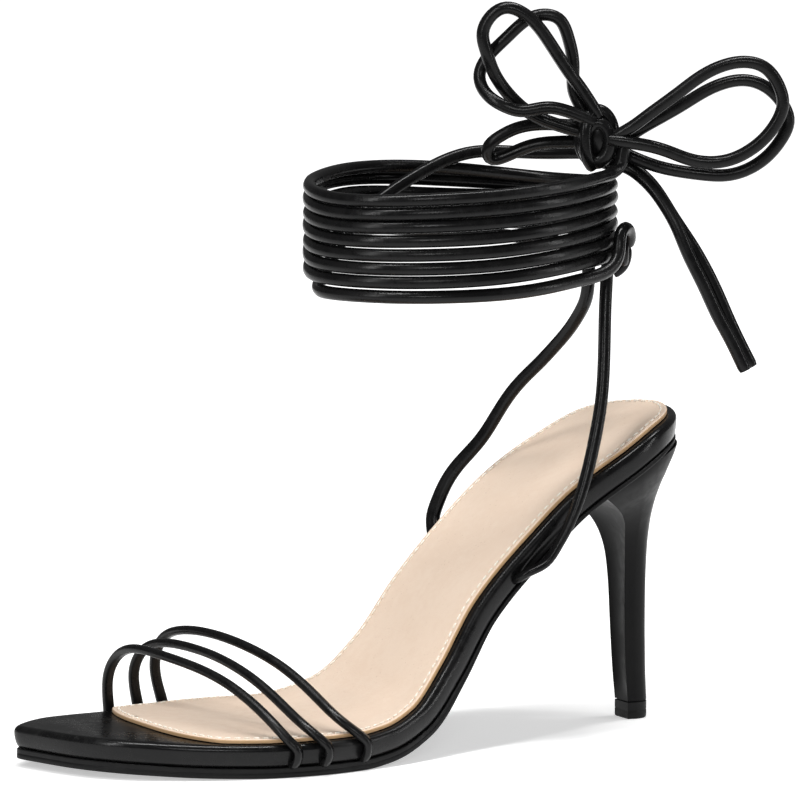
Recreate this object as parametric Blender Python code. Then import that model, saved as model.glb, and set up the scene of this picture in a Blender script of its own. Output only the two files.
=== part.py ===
"""Lace up sandal for a left foot, on a slim high heel, as separate named parts.

Metres, +Z up. The toe points to -X, the heel to +X and the outer side to -Y.
The origin is on the ground, under the flat of the forefoot.
"""

import math
from typing import NamedTuple

import bmesh
import bpy
import numpy as np
from mathutils import Vector

# Sole: overall sizes
LENGTH = 0.2172
TREAD_BACK = 0.0772
BALL_WIDTH = 0.0810
SEAT_WIDTH = 0.0550
HEEL_RISE = 0.0865
CLEARANCE = 0.0003

# Sole: layers
FOOTBED_THICKNESS = 0.0066
FOOTBED_ROUND = 0.0020
FOOTBED_TUCK = 0.0013
HEEL_TUCK = 0.0005
HEEL_SQUARING = 0.24
OUTSOLE_TREAD = 0.0032
OUTSOLE_WAIST = 0.0013
OUTSOLE_INSET = 0.0009
OUTSOLE_CHAMFER = 0.0009
SOCK_THICKNESS = 0.0012
SOCK_INSET = 0.0030
SOCK_EDGE = 0.0005
SOCK_TOE_BACK = 0.0365
SOCK_TOE_CURVE = 0.000185

# Heel
HEEL_SEAT_LENGTH = 0.0400
HEEL_TIP_SETBACK = 0.0110
HEEL_TIP_LENGTH = 0.0081
HEEL_TIP_WIDTH = 0.0090
BREAST_HOLLOW = 0.0007
TOP_PIECE_HEIGHT = 0.0053
TOP_PIECE_CHAMFER = 0.0004

# Toe straps
STRAP_WIDTH = 0.0033
STRAP_THICKNESS = 0.0027
STRAP_CROWN = 0.0250
STRAP_TAIL = 0.0060
SLOT_SHARE = 1.45
MOUTH_SHARE = 1.9

# Laces
LACE_DIAMETER = 0.0037
LACE_FOOT_WIDTH = 0.0046
LACE_FOOT_THICKNESS = 0.0028
LACE_TAIL = 0.0055
KNOT_RADIUS = 0.0033
KNOT_CORD = 0.0032
POCKET_DEPTH = 0.0016
POCKET_HEIGHT = 0.0036

# Ankle wraps, measured to the middle of the lace
CUFF_FORWARD = 0.0728
CUFF_LENGTH = 0.0974
CUFF_WIDTH = 0.0680
CUFF_HEIGHT = 0.1380
ROW_PITCH = 0.00405
ROW_STAGGER = 0.0028

# Bow
BOW_PLACE = (0.1068, -0.0130, 0.1812)
BOW_TURN = math.radians(-29.6)
BOW_CORE = (0.0088, 0.0098, 0.0150)
BOW_OUTER_SHIFT = -0.0008
BOW_INNER_SHIFT = 0.0028
BOW_INNER_DROP = 0.0015
BOW_OUTER_RING = (0.0049, 0.0078)
BOW_INNER_RING = (0.0038, 0.0058)
BOW_RING_CORD = 0.0040

STATIONS = 40
BEND_SHARE = 0.36
TUBE_SIDES = 8
HEEL_SIDES = 20

BLACK = (0.012, 0.012, 0.013)
BEIGE = (0.78, 0.62, 0.50)


class OutlineRow(NamedTuple):
    """Half widths of the footbed, as shares of the local full width."""

    along: float
    lateral: float
    medial: float


OUTLINE = (
    OutlineRow(0.0000, -0.151, 0.151),
    OutlineRow(0.0115, -0.042, 0.198),
    OutlineRow(0.0304, 0.098, 0.239),
    OutlineRow(0.0652, 0.240, 0.295),
    OutlineRow(0.1249, 0.364, 0.356),
    OutlineRow(0.2044, 0.467, 0.418),
    OutlineRow(0.2840, 0.529, 0.455),
    OutlineRow(0.3635, 0.544, 0.455),
    OutlineRow(0.4431, 0.509, 0.415),
    OutlineRow(0.5227, 0.470, 0.380),
    OutlineRow(0.6022, 0.462, 0.406),
    OutlineRow(0.6818, 0.503, 0.485),
    OutlineRow(0.7613, 0.503, 0.496),
    OutlineRow(0.8409, 0.499, 0.499),
    OutlineRow(0.9006, 0.467, 0.467),
    OutlineRow(0.9503, 0.372, 0.372),
    OutlineRow(0.9801, 0.244, 0.244),
    OutlineRow(0.9950, 0.118, 0.118),
    OutlineRow(1.0000, 0.000, 0.000),
)


class ProfileRow(NamedTuple):
    """Height of the footbed's top over its tread, as a share of HEEL_RISE."""

    along: float
    rise: float


PROFILE = (
    ProfileRow(0.0000, 0.028),
    ProfileRow(0.0552, 0.025),
    ProfileRow(0.1149, 0.017),
    ProfileRow(0.1746, 0.008),
    ProfileRow(0.2243, 0.003),
    ProfileRow(0.2740, 0.000),
    ProfileRow(0.4033, 0.000),
    ProfileRow(0.4431, 0.010),
    ProfileRow(0.5028, 0.060),
    ProfileRow(0.5624, 0.197),
    ProfileRow(0.6221, 0.393),
    ProfileRow(0.7017, 0.590),
    ProfileRow(0.7812, 0.757),
    ProfileRow(0.8608, 0.872),
    ProfileRow(0.9304, 0.958),
    ProfileRow(1.0000, 1.000),
)


class HeelRow(NamedTuple):
    """A section of the heel, from its front to its back.

    front and back are shares of HEEL_SEAT_LENGTH behind the tip's middle,
    the rises are shares of the heel's height, and width is one of SEAT_WIDTH.
    """

    front: float
    front_rise: float
    back: float
    back_rise: float
    width: float


HEEL_ROWS = (
    HeelRow(-0.760, 0.905, 0.265, 1.120, 0.965),
    HeelRow(-0.600, 0.850, 0.235, 1.035, 0.900),
    HeelRow(-0.430, 0.800, 0.180, 0.955, 0.740),
    HeelRow(-0.310, 0.760, 0.135, 0.880, 0.570),
    HeelRow(-0.235, 0.715, 0.105, 0.805, 0.430),
    HeelRow(-0.195, 0.660, 0.088, 0.720, 0.320),
    HeelRow(-0.170, 0.590, 0.078, 0.620, 0.250),
    HeelRow(-0.155, 0.480, 0.075, 0.490, 0.208),
    HeelRow(-0.145, 0.350, 0.078, 0.352, 0.188),
    HeelRow(-0.125, 0.180, 0.088, 0.180, 0.172),
)


class StrapRow(NamedTuple):
    """A place on a toe strap: shares of LENGTH, BALL_WIDTH and STRAP_CROWN."""

    along: float
    across: float
    height: float


class Strap(NamedTuple):
    """A toe strap: where its ends go under the footbed, and its arch between."""

    name: str
    medial_along: float
    lateral_along: float
    arch: tuple


STRAPS = (
    Strap(
        "toe_strap_front",
        0.2004,
        0.2959,
        (
            StrapRow(0.1935, 0.413, 0.38),
            StrapRow(0.1955, 0.356, 0.68),
            StrapRow(0.1994, 0.240, 0.84),
            StrapRow(0.2154, 0.086, 0.82),
            StrapRow(0.2362, -0.099, 0.73),
            StrapRow(0.2531, -0.265, 0.58),
            StrapRow(0.2671, -0.395, 0.375),
            StrapRow(0.2770, -0.485, 0.190),
        ),
    ),
    Strap(
        "toe_strap_middle",
        0.2522,
        0.3417,
        (
            StrapRow(0.2432, 0.459, 0.38),
            StrapRow(0.2472, 0.407, 0.70),
            StrapRow(0.2571, 0.303, 0.84),
            StrapRow(0.2740, 0.111, 0.84),
            StrapRow(0.2860, -0.062, 0.76),
            StrapRow(0.2999, -0.241, 0.575),
            StrapRow(0.3118, -0.395, 0.33),
            StrapRow(0.3188, -0.490, 0.185),
        ),
    ),
    Strap(
        "toe_strap_back",
        0.2939,
        0.4053,
        (
            StrapRow(0.2810, 0.480, 0.40),
            StrapRow(0.2820, 0.432, 0.80),
            StrapRow(0.2899, 0.309, 0.97),
            StrapRow(0.3049, 0.161, 0.99),
            StrapRow(0.3257, -0.019, 0.90),
            StrapRow(0.3486, -0.210, 0.69),
            StrapRow(0.3645, -0.383, 0.40),
            StrapRow(0.3755, -0.480, 0.215),
        ),
    ),
)

# Middle line of each rising lace above the place where it leaves the sole
LACE_LATERAL_RISE = (
    (0.0790, -0.0312, 0.0556),
    (0.0828, -0.0320, 0.0606),
    (0.0852, -0.0322, 0.0644),
    (0.0876, -0.0322, 0.0687),
    (0.0902, -0.0318, 0.0738),
    (0.0943, -0.0304, 0.0830),
    (0.0984, -0.0284, 0.0945),
    (0.1016, -0.0260, 0.1046),
    (0.1044, -0.0225, 0.1176),
    (0.1064, -0.0195, 0.1292),
    (0.1078, -0.0178, 0.1375),
    (0.1084, -0.0172, 0.1432),
)
LACE_MEDIAL_RISE = (
    (0.0767, 0.0326, 0.0604),
    (0.0778, 0.0322, 0.0652),
    (0.0800, 0.0310, 0.0712),
    (0.0833, 0.0286, 0.0775),
    (0.0883, 0.0240, 0.0854),
    (0.0922, 0.0205, 0.0936),
    (0.0950, 0.0170, 0.1003),
    (0.0976, 0.0130, 0.1056),
    (0.1002, 0.0085, 0.1105),
    (0.1025, 0.0035, 0.1159),
    (0.1042, -0.0020, 0.1216),
    (0.1050, -0.0070, 0.1273),
    (0.1050, -0.0105, 0.1320),
    (0.1047, -0.0122, 0.1372),
    (0.1046, -0.0126, 0.1428),
)
LACE_LATERAL_ALONG = 0.667
LACE_MEDIAL_ALONG = 0.677
POCKET_ALONG = (0.664, 0.768)


class WrapRow(NamedTuple):
    """Heights of one turn of the lace round the ankle, in shares of ROW_PITCH.

    The turn starts behind the ankle, runs up its inner side to the toe side,
    and comes back along its outer side.
    """

    inner_back: float
    inner: float
    inner_front: float
    front: float
    toe: float
    outer_front: float
    outer: float
    outer_back: float
    back: float


WRAP_ANGLES = (30, 80, 120, 159, 189, 235, 264, 302, 337)
WRAP_ROWS = (
    WrapRow(2.10, 2.85, 3.28, 1.45, 1.07, 1.08, 1.25, 1.80, 2.10),
    WrapRow(3.22, 3.55, 4.00, 2.46, 2.07, 2.08, 2.25, 2.80, 3.10),
    WrapRow(3.90, 4.25, 4.72, 3.48, 3.07, 3.10, 3.26, 3.80, 4.10),
    WrapRow(4.60, 4.95, 5.45, 4.50, 4.08, 4.14, 4.30, 4.81, 5.10),
    WrapRow(5.35, 5.68, 6.20, 5.52, 5.10, 5.20, 5.38, 5.84, 6.10),
    WrapRow(6.08, 6.70, 7.14, 6.52, 6.06, 6.16, 6.38, 6.82, 7.05),
    WrapRow(6.82, 7.70, 8.02, 7.54, 7.08, 7.18, 7.40, 7.84, 8.05),
)


class CrossRow(NamedTuple):
    """A place on a lace at the ankle: angle, height and outward offset."""

    angle: float
    height: float
    outward: float


WRAP_START = CrossRow(-6.0, 1.20, 0.0)
WRAP_END = (
    CrossRow(322.0, 7.96, 0.06),
    CrossRow(326.5, 8.20, 0.42),
    CrossRow(329.0, 8.62, 0.80),
    CrossRow(329.5, 9.36, 0.97),
)
CROSSING = (
    CrossRow(8, 8.92, 0.00),
    CrossRow(17, 8.82, 0.00),
    CrossRow(27, 8.72, 0.00),
    CrossRow(38, 8.66, 0.00),
    CrossRow(50, 8.74, -0.25),
    CrossRow(62, 8.80, -0.80),
    CrossRow(75, 8.35, -1.45),
    CrossRow(90, 7.20, -1.58),
    CrossRow(110, 5.40, -1.58),
    CrossRow(130, 3.30, -1.55),
    CrossRow(148, 1.40, -1.38),
    CrossRow(162, 0.40, -0.90),
    CrossRow(175, 0.05, -0.35),
    CrossRow(189, 0.00, 0.00),
    CrossRow(212, 0.00, 0.00),
    CrossRow(235, 0.00, 0.00),
    CrossRow(264, 0.08, 0.00),
    CrossRow(285, 0.35, 0.00),
    CrossRow(300, 0.60, 0.08),
    CrossRow(309, 0.85, 0.62),
    CrossRow(315, 1.40, 1.10),
    CrossRow(319, 2.25, 1.24),
    CrossRow(321, 3.30, 1.20),
    CrossRow(323, 4.40, 1.18),
)

# Middle lines of the bow's free cords, chosen by hand
LOOP_LEFT_FRONT = (
    (0.1046, -0.0151, 0.1899),
    (0.1028, -0.0145, 0.1928),
    (0.1005, -0.0135, 0.1965),
    (0.0965, -0.0125, 0.2020),
    (0.0910, -0.0095, 0.2115),
    (0.0865, -0.0070, 0.2175),
    (0.0810, -0.0040, 0.2205),
    (0.0770, -0.0015, 0.2185),
    (0.0745, 0.0000, 0.2130),
    (0.0755, -0.0005, 0.2070),
    (0.0785, 0.0000, 0.2005),
    (0.0835, 0.0000, 0.1940),
    (0.0885, -0.0020, 0.1890),
    (0.0935, -0.0050, 0.1860),
    (0.1003, -0.0097, 0.1834),
)
LOOP_LEFT_BACK = (
    (0.1028, -0.0108, 0.1898),
    (0.1010, -0.0088, 0.1955),
    (0.1010, -0.0085, 0.2030),
    (0.0995, -0.0080, 0.2110),
    (0.0970, -0.0070, 0.2165),
    (0.0930, -0.0050, 0.2180),
    (0.0885, -0.0025, 0.2165),
    (0.0830, 0.0005, 0.2110),
    (0.0780, 0.0040, 0.2045),
    (0.0760, 0.0045, 0.1990),
    (0.0765, 0.0005, 0.1940),
    (0.0795, -0.0040, 0.1910),
    (0.0845, -0.0070, 0.1895),
    (0.0915, -0.0105, 0.1905),
    (0.1015, -0.0155, 0.1872),
)
LOOP_RIGHT_FRONT = (
    (0.1109, -0.0190, 0.1822),
    (0.1145, -0.0222, 0.1852),
    (0.1182, -0.0245, 0.1885),
    (0.1256, -0.0292, 0.1951),
    (0.1325, -0.0332, 0.2009),
    (0.1408, -0.0380, 0.2044),
    (0.1480, -0.0420, 0.2029),
    (0.1520, -0.0440, 0.1970),
    (0.1530, -0.0445, 0.1910),
    (0.1500, -0.0425, 0.1835),
    (0.1450, -0.0395, 0.1780),
    (0.1385, -0.0355, 0.1745),
    (0.1305, -0.0310, 0.1745),
    (0.1240, -0.0275, 0.1770),
    (0.1180, -0.0245, 0.1790),
    (0.1100, -0.0202, 0.1804),
)
LOOP_RIGHT_BACK = (
    (0.1141, -0.0165, 0.1801),
    (0.1170, -0.0185, 0.1825),
    (0.1205, -0.0205, 0.1850),
    (0.1285, -0.0255, 0.1905),
    (0.1365, -0.0300, 0.1960),
    (0.1450, -0.0345, 0.1985),
    (0.1510, -0.0380, 0.1965),
    (0.1550, -0.0405, 0.1920),
    (0.1570, -0.0415, 0.1865),
    (0.1550, -0.0405, 0.1805),
    (0.1500, -0.0375, 0.1740),
    (0.1420, -0.0335, 0.1700),
    (0.1340, -0.0285, 0.1700),
    (0.1255, -0.0235, 0.1715),
    (0.1200, -0.0190, 0.1735),
    (0.1138, -0.0141, 0.1767),
)
LOOP_SMALL = (
    (0.1030, -0.0066, 0.1841),
    (0.1000, -0.0045, 0.1843),
    (0.0950, -0.0010, 0.1844),
    (0.0890, 0.0030, 0.1833),
    (0.0840, 0.0060, 0.1805),
    (0.0815, 0.0085, 0.1770),
    (0.0835, 0.0100, 0.1735),
    (0.0875, 0.0075, 0.1745),
    (0.0920, 0.0035, 0.1772),
    (0.0965, -0.0010, 0.1787),
    (0.1036, -0.0063, 0.1792),
)
END_BACK = (
    (0.1109, -0.0100, 0.1760),
    (0.1158, -0.0092, 0.1736),
    (0.1205, -0.0110, 0.1710),
    (0.1245, -0.0170, 0.1655),
    (0.1280, -0.0225, 0.1570),
    (0.1325, -0.0275, 0.1475),
    (0.1380, -0.0310, 0.1355),
    (0.1425, -0.0335, 0.1240),
    (0.1480, -0.0365, 0.1115),
)
END_FRONT = (
    (0.1118, -0.0135, 0.1727),
    (0.1168, -0.0147, 0.1714),
    (0.1213, -0.0199, 0.1665),
    (0.1238, -0.0244, 0.1610),
    (0.1261, -0.0280, 0.1545),
    (0.1285, -0.0307, 0.1465),
    (0.1324, -0.0334, 0.1370),
    (0.1361, -0.0354, 0.1280),
    (0.1393, -0.0375, 0.1210),
    (0.1435, -0.0400, 0.1110),
)
BOW_CORDS = (
    ("bow_loop_left_front", LOOP_LEFT_FRONT),
    ("bow_loop_left_back", LOOP_LEFT_BACK),
    ("bow_loop_right_front", LOOP_RIGHT_FRONT),
    ("bow_loop_right_back", LOOP_RIGHT_BACK),
    ("bow_loop_small", LOOP_SMALL),
    ("bow_end_front", END_FRONT),
    ("bow_end_back", END_BACK),
)


def clear_scene():
    """Removes every object of the scene."""
    for old in list(bpy.data.objects):
        bpy.data.objects.remove(old, do_unlink=True)


def material(name, colour, roughness, coat=0.0):
    """A plain finish for one part."""
    made = bpy.data.materials.new(name)
    made.use_nodes = True
    shader = made.node_tree.nodes["Principled BSDF"]
    shader.inputs["Base Color"].default_value = (*colour, 1.0)
    shader.inputs["Roughness"].default_value = roughness
    shader.inputs["Metallic"].default_value = 0.0
    shader.inputs["Coat Weight"].default_value = coat
    made.diffuse_color = (*colour, 1.0)
    return made


def smoothstep(value, low, high):
    """0 below low, 1 above high and smooth between."""
    share = np.clip((value - low) / (high - low), 0.0, 1.0)
    return share * share * (3.0 - 2.0 * share)


def natural_curve(knots, values, where):
    """Natural cubic curve through values at knots, read at where."""
    x = np.asarray(knots, float)
    y = np.asarray(values, float)
    h = np.diff(x)
    count = len(x)
    system = np.eye(count)
    right = np.zeros(count)
    for i in range(1, count - 1):
        system[i, i - 1 : i + 2] = h[i - 1], 2.0 * (h[i - 1] + h[i]), h[i]
        right[i] = 6.0 * ((y[i + 1] - y[i]) / h[i] - (y[i] - y[i - 1]) / h[i - 1])
    bend = np.linalg.solve(system, right)
    at = np.asarray(where, float)
    i = np.clip(np.searchsorted(x, at) - 1, 0, count - 2)
    a = x[i + 1] - at
    b = at - x[i]
    cubic = (bend[i] * a**3 + bend[i + 1] * b**3) / (6.0 * h[i])
    straight = (y[i] / h[i] - bend[i] * h[i] / 6.0) * a
    return cubic + straight + (y[i + 1] / h[i] - bend[i + 1] * h[i] / 6.0) * b


def level_curve(knots, values, where):
    """Smooth curve through values at knots that never overshoots them."""
    x = np.asarray(knots, float)
    y = np.asarray(values, float)
    h = np.diff(x)
    slope = np.diff(y) / h
    tangent = np.zeros(len(x))
    for i in range(1, len(x) - 1):
        if slope[i - 1] * slope[i] > 0.0:
            first = 2.0 * h[i] + h[i - 1]
            second = h[i] + 2.0 * h[i - 1]
            tangent[i] = (first + second) / (first / slope[i - 1] + second / slope[i])
    tangent[0] = slope[0]
    tangent[-1] = slope[-1]
    at = np.asarray(where, float)
    i = np.clip(np.searchsorted(x, at) - 1, 0, len(x) - 2)
    t = (at - x[i]) / h[i]
    start = y[i] * (1.0 + 2.0 * t) * (1.0 - t) ** 2 + tangent[i] * h[i] * t * (1.0 - t) ** 2
    return start + y[i + 1] * t * t * (3.0 - 2.0 * t) + tangent[i + 1] * h[i] * t * t * (t - 1.0)


def smooth_route(points, spacing, turn=None):
    """Points on a smooth curve through hand-set points.

    They are spacing apart, and closer where the curve bends by more than turn.
    """
    route = np.asarray(points, float)
    steps = np.sqrt(np.linalg.norm(np.diff(route, axis=0), axis=1))
    knots = np.concatenate(([0.0], np.cumsum(steps)))
    fine = np.linspace(0.0, knots[-1], 40 * len(route))
    curve = np.stack([natural_curve(knots, route[:, k], fine) for k in range(3)], axis=1)
    step = np.diff(curve, axis=0)
    size = np.linalg.norm(step, axis=1)
    cost = size / spacing
    if turn is not None:
        ahead = step / size[:, None]
        cosine = np.clip(np.sum(ahead[1:] * ahead[:-1], axis=1), -1.0, 1.0)
        cost[1:] += np.arccos(cosine) / turn
    run = np.concatenate(([0.0], np.cumsum(cost)))
    even = np.linspace(0.0, run[-1], max(4, round(run[-1]) + 1))
    return np.stack([np.interp(even, run, curve[:, k]) for k in range(3)], axis=1)


class Last:
    """The sole's form: a side profile that carries a flat pattern."""

    def __init__(self):
        along = np.linspace(0.0, 1.0, 1201)
        rise = level_curve([r.along for r in PROFILE], [r.rise for r in PROFILE], along)
        self.tread_top = OUTSOLE_TREAD + CLEARANCE + FOOTBED_THICKNESS
        self.x = along * LENGTH - TREAD_BACK
        self.z = self.tread_top + rise * HEEL_RISE
        step = np.hypot(np.diff(self.x), np.diff(self.z))
        self.run = np.concatenate(([0.0], np.cumsum(step)))
        slope = np.gradient(self.z, self.x)
        window = 25
        padded = np.pad(slope, window // 2, mode="edge")
        slope = np.convolve(padded, np.ones(window) / window, mode="valid")
        self.tangent = np.stack([np.ones_like(slope), slope], axis=1)
        self.tangent /= np.linalg.norm(self.tangent, axis=1)[:, None]
        bend = np.abs(np.gradient(np.arctan(slope)))
        turn = np.arccos(1.0 - 2.0 * along) / math.pi
        measure = (1.0 - BEND_SHARE) * turn + BEND_SHARE * np.cumsum(bend) / bend.sum()
        measure = (measure - measure[0]) / (measure[-1] - measure[0])
        self.stations = np.interp(np.linspace(0.0, 1.0, STATIONS + 1), measure, along)

    def length(self):
        """Length of the flat pattern."""
        return self.run[-1]

    def run_at(self, along):
        """Distance on the flat pattern of a level share of LENGTH."""
        return float(np.interp(along * LENGTH - TREAD_BACK, self.x, self.run))

    def bend(self, run, across, depth):
        """Place of a point of the flat pattern, depth below the top."""
        run = run - depth * HEEL_SQUARING * smoothstep(run, 0.88 * self.length(), self.length())
        inside = np.clip(run, 0.0, self.length())
        over = run - inside
        tx = np.interp(inside, self.run, self.tangent[:, 0])
        tz = np.interp(inside, self.run, self.tangent[:, 1])
        x = np.interp(inside, self.run, self.x) + tx * over + tz * depth
        z = np.interp(inside, self.run, self.z) + tz * over - tx * depth
        return np.stack([x, np.broadcast_to(across, x.shape), z], axis=-1)

    def half_widths(self, along):
        """Lateral and medial half widths at level shares of LENGTH."""
        table = [math.acos(1.0 - 2.0 * row.along) for row in OUTLINE]
        turn = np.arccos(1.0 - 2.0 * np.clip(along, 0.0, 1.0))
        width = BALL_WIDTH + (SEAT_WIDTH - BALL_WIDTH) * smoothstep(along, 0.453, 0.702)
        lateral = natural_curve(table, [row.lateral for row in OUTLINE], turn)
        medial = natural_curve(table, [row.medial for row in OUTLINE], turn)
        return lateral * width, medial * width

    def outline(self, inset=0.0):
        """Closed outline of the footbed on the flat pattern, moved inwards."""
        lateral, medial = self.half_widths(self.stations)
        run = np.interp(self.stations * LENGTH - TREAD_BACK, self.x, self.run)
        outer = np.stack([run, -lateral], axis=1)
        inner = np.stack([run, medial], axis=1)
        ring = np.concatenate([outer, inner[-2:0:-1]])
        along_edge = np.roll(ring, -1, axis=0) - np.roll(ring, 1, axis=0)
        along_edge /= np.linalg.norm(along_edge, axis=1)[:, None]
        inward = np.stack([-along_edge[:, 1], along_edge[:, 0]], axis=1)
        return ring + inward * np.broadcast_to(inset, len(ring))[:, None]

    def edge(self, along, side, outward, depth):
        """A point beside the footbed's edge; side is -1 lateral, 1 medial."""
        lateral, medial = self.half_widths(np.array([along]))
        half = float(lateral[0] if side < 0 else medial[0])
        run = np.array([self.run_at(along)])
        return tuple(self.bend(run, side * (half + outward), depth)[0])


def add_mesh(name, vertices, faces, finish, smooth_angle=35.0):
    """A mesh object from vertices and faces, with its normals outwards."""
    mesh = bpy.data.meshes.new(name)
    mesh.from_pydata([tuple(map(float, v)) for v in vertices], [], faces)
    form = bmesh.new()
    form.from_mesh(mesh)
    bmesh.ops.recalc_face_normals(form, faces=form.faces)
    form.to_mesh(mesh)
    form.free()
    mesh.shade_smooth()
    mesh.set_sharp_from_angle(angle=math.radians(smooth_angle))
    mesh.materials.append(finish)
    made = bpy.data.objects.new(name, mesh)
    bpy.context.scene.collection.objects.link(made)
    return made


def rings_to_faces(ring_count, size, closed=False):
    """Quads between rings of one size, joined end to end if closed."""
    faces = []
    for ring in range(ring_count if closed else ring_count - 1):
        low = ring * size
        high = (ring + 1) % ring_count * size
        for i in range(size):
            j = (i + 1) % size
            faces.append((low + i, low + j, high + j, high + i))
    return faces


def sole_caps(first, size):
    """Strips straight across a sole outline's ring, from toe to heel."""
    half = size // 2
    faces = [(first, first + 1, first + size - 1)]
    for i in range(1, half - 1):
        faces.append((first + i, first + i + 1, first + size - i - 1, first + size - i))
    faces.append((first + half - 1, first + half, first + half + 1))
    return faces


def sole_layer(name, last, rims, finish):
    """A layer of the sole from (outline ring, depth) pairs, top to bottom."""
    vertices = []
    for ring, depth in rims:
        vertices.extend(last.bend(ring[:, 0], ring[:, 1], depth))
    size = len(rims[0][0])
    faces = rings_to_faces(len(rims), size)
    faces += sole_caps(0, size)
    faces += [tuple(reversed(f)) for f in sole_caps((len(rims) - 1) * size, size)]
    return add_mesh(name, vertices, faces, finish)


def heelwards(last, toe_value, heel_value):
    """A value at each point of the outline, from the forefoot's to the seat's."""
    run = last.outline()[:, 0] / last.length()
    return toe_value + (heel_value - toe_value) * smoothstep(run, 0.45, 0.85)


def build_footbed(last, finish):
    """The wrapped footbed, rounded along its top edge."""
    rims = []
    for degrees in (0.0, 30.0, 60.0, 90.0):
        turn = math.radians(degrees)
        inset = FOOTBED_ROUND * (1.0 - math.sin(turn))
        rims.append((last.outline(inset), FOOTBED_ROUND * (1.0 - math.cos(turn))))
    tuck = heelwards(last, FOOTBED_TUCK, HEEL_TUCK)
    for share in (0.55, 1.0):
        depth = FOOTBED_ROUND + (FOOTBED_THICKNESS - FOOTBED_ROUND) * share
        rims.append((last.outline(tuck * share**2), depth))
    return sole_layer("footbed", last, rims, finish)


def outsole_thickness(last, ring):
    """Thickness of the outsole under each point of a ring."""
    thin = smoothstep(ring[:, 0], last.run_at(0.423), last.run_at(0.622))
    return OUTSOLE_TREAD + (OUTSOLE_WAIST - OUTSOLE_TREAD) * thin


def build_outsole(last, finish):
    """The outsole, thick under the tread and thin from the waist back."""
    top = FOOTBED_THICKNESS + CLEARANCE
    inset = heelwards(last, OUTSOLE_INSET, 0.2 * OUTSOLE_INSET)
    side = last.outline(inset)
    bottom = last.outline(inset + heelwards(last, OUTSOLE_CHAMFER, 0.4 * OUTSOLE_CHAMFER))
    rims = [
        (side, top),
        (side, top + outsole_thickness(last, side) - 0.5 * OUTSOLE_CHAMFER),
        (bottom, top + outsole_thickness(last, bottom)),
    ]
    return sole_layer("outsole", last, rims, finish)


def sock_outline(last, inset):
    """Outline of the insole sock: the footbed's, cut by an arc at the toe."""
    ring = last.outline(SOCK_INSET + inset)
    millimetre = 0.001
    lift = np.abs(ring[:, 1] / millimetre) ** 3 * SOCK_TOE_CURVE * millimetre
    arc = SOCK_TOE_BACK + inset + lift
    soft = 2.0 * millimetre
    gap = ring[:, 0] - arc
    ring[:, 0] = arc + 0.5 * (gap + np.sqrt(gap * gap + soft * soft))
    return ring


def build_sock(last, finish):
    """The insole sock, glued on the footbed."""
    low = -CLEARANCE
    high = low - SOCK_THICKNESS
    rims = [
        (sock_outline(last, SOCK_EDGE), high),
        (sock_outline(last, 0.0), high + SOCK_EDGE),
        (sock_outline(last, 0.0), low),
    ]
    return sole_layer("insole_sock", last, rims, finish)


def sweep(name, route, widths, thicknesses, hint, finish):
    """A closed tube along a route, carried without twist.

    Its thickness is measured along hint, and its width square to that.
    """
    route = [Vector(map(float, p)) for p in route]
    count = len(route)
    flat = Vector(hint)
    corner = 0.5 / math.cos(math.pi / TUBE_SIDES)
    vertices = []
    for i, place in enumerate(route):
        ahead = (route[min(i + 1, count - 1)] - route[max(i - 1, 0)]).normalized()
        flat = (flat - ahead * flat.dot(ahead)).normalized()
        wide = ahead.cross(flat)
        for k in range(TUBE_SIDES):
            turn = math.tau * (k + 0.5) / TUBE_SIDES
            across = wide * (corner * widths[i] * math.cos(turn))
            vertices.append(place + across + flat * (corner * thicknesses[i] * math.sin(turn)))
    faces = rings_to_faces(count, TUBE_SIDES)
    faces.append(tuple(range(TUBE_SIDES)))
    faces.append(tuple((count - 1) * TUBE_SIDES + k for k in range(TUBE_SIDES)))
    return add_mesh(name, vertices, faces, finish, 50.0)


def round_tube(name, route, diameter, hint, finish):
    """A tube of one diameter along a route."""
    sizes = [diameter] * len(route)
    return sweep(name, route, sizes, sizes, hint, finish)


def closed_ring(name, centre, wide, tall, radii, cord, finish):
    """A ring of cord in the plane of wide and tall."""
    count = 16
    middle = []
    for i in range(count):
        turn = math.tau * i / count
        reach = wide * (radii[0] * math.cos(turn)) + tall * (radii[1] * math.sin(turn))
        middle.append(centre + reach)
    through = wide.cross(tall)
    vertices = []
    for i, place in enumerate(middle):
        ahead = (middle[(i + 1) % count] - middle[i - 1]).normalized()
        away = ahead.cross(through)
        for k in range(TUBE_SIDES):
            turn = math.tau * (k + 0.5) / TUBE_SIDES
            spoke = away * math.cos(turn) + through * math.sin(turn)
            vertices.append(place + spoke * (0.5 * cord))
    return add_mesh(name, vertices, rings_to_faces(count, TUBE_SIDES, True), finish, 50.0)


def boolean(target, cutter, operation):
    """Applies an exact Boolean and removes the cutter."""
    cutter.hide_render = True
    cutter.display_type = "WIRE"
    step = target.modifiers.new(operation.title(), "BOOLEAN")
    step.operation = operation
    step.solver = "EXACT"
    step.object = cutter
    depsgraph = bpy.context.evaluated_depsgraph_get()
    result = bpy.data.meshes.new_from_object(target.evaluated_get(depsgraph))
    target.modifiers.remove(step)
    old = target.data
    target.data = result
    result.name = target.name
    bpy.data.meshes.remove(old)
    bpy.data.objects.remove(cutter, do_unlink=True)


def cut_slot(footbed, path, width, thickness, hint, finish):
    """Cuts the slot that holds the end of a strap or lace in the footbed.

    The path runs from the inner end to the slot's wide mouth.
    """
    grown = 3.0 * CLEARANCE
    widths = [width + grown] * len(path)
    thicknesses = [thickness + grown, thickness + grown]
    thicknesses += [MOUTH_SHARE * thickness + grown] * (len(path) - 2)
    boolean(footbed, sweep("slot", path, widths, thicknesses, hint, finish), "DIFFERENCE")


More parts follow.
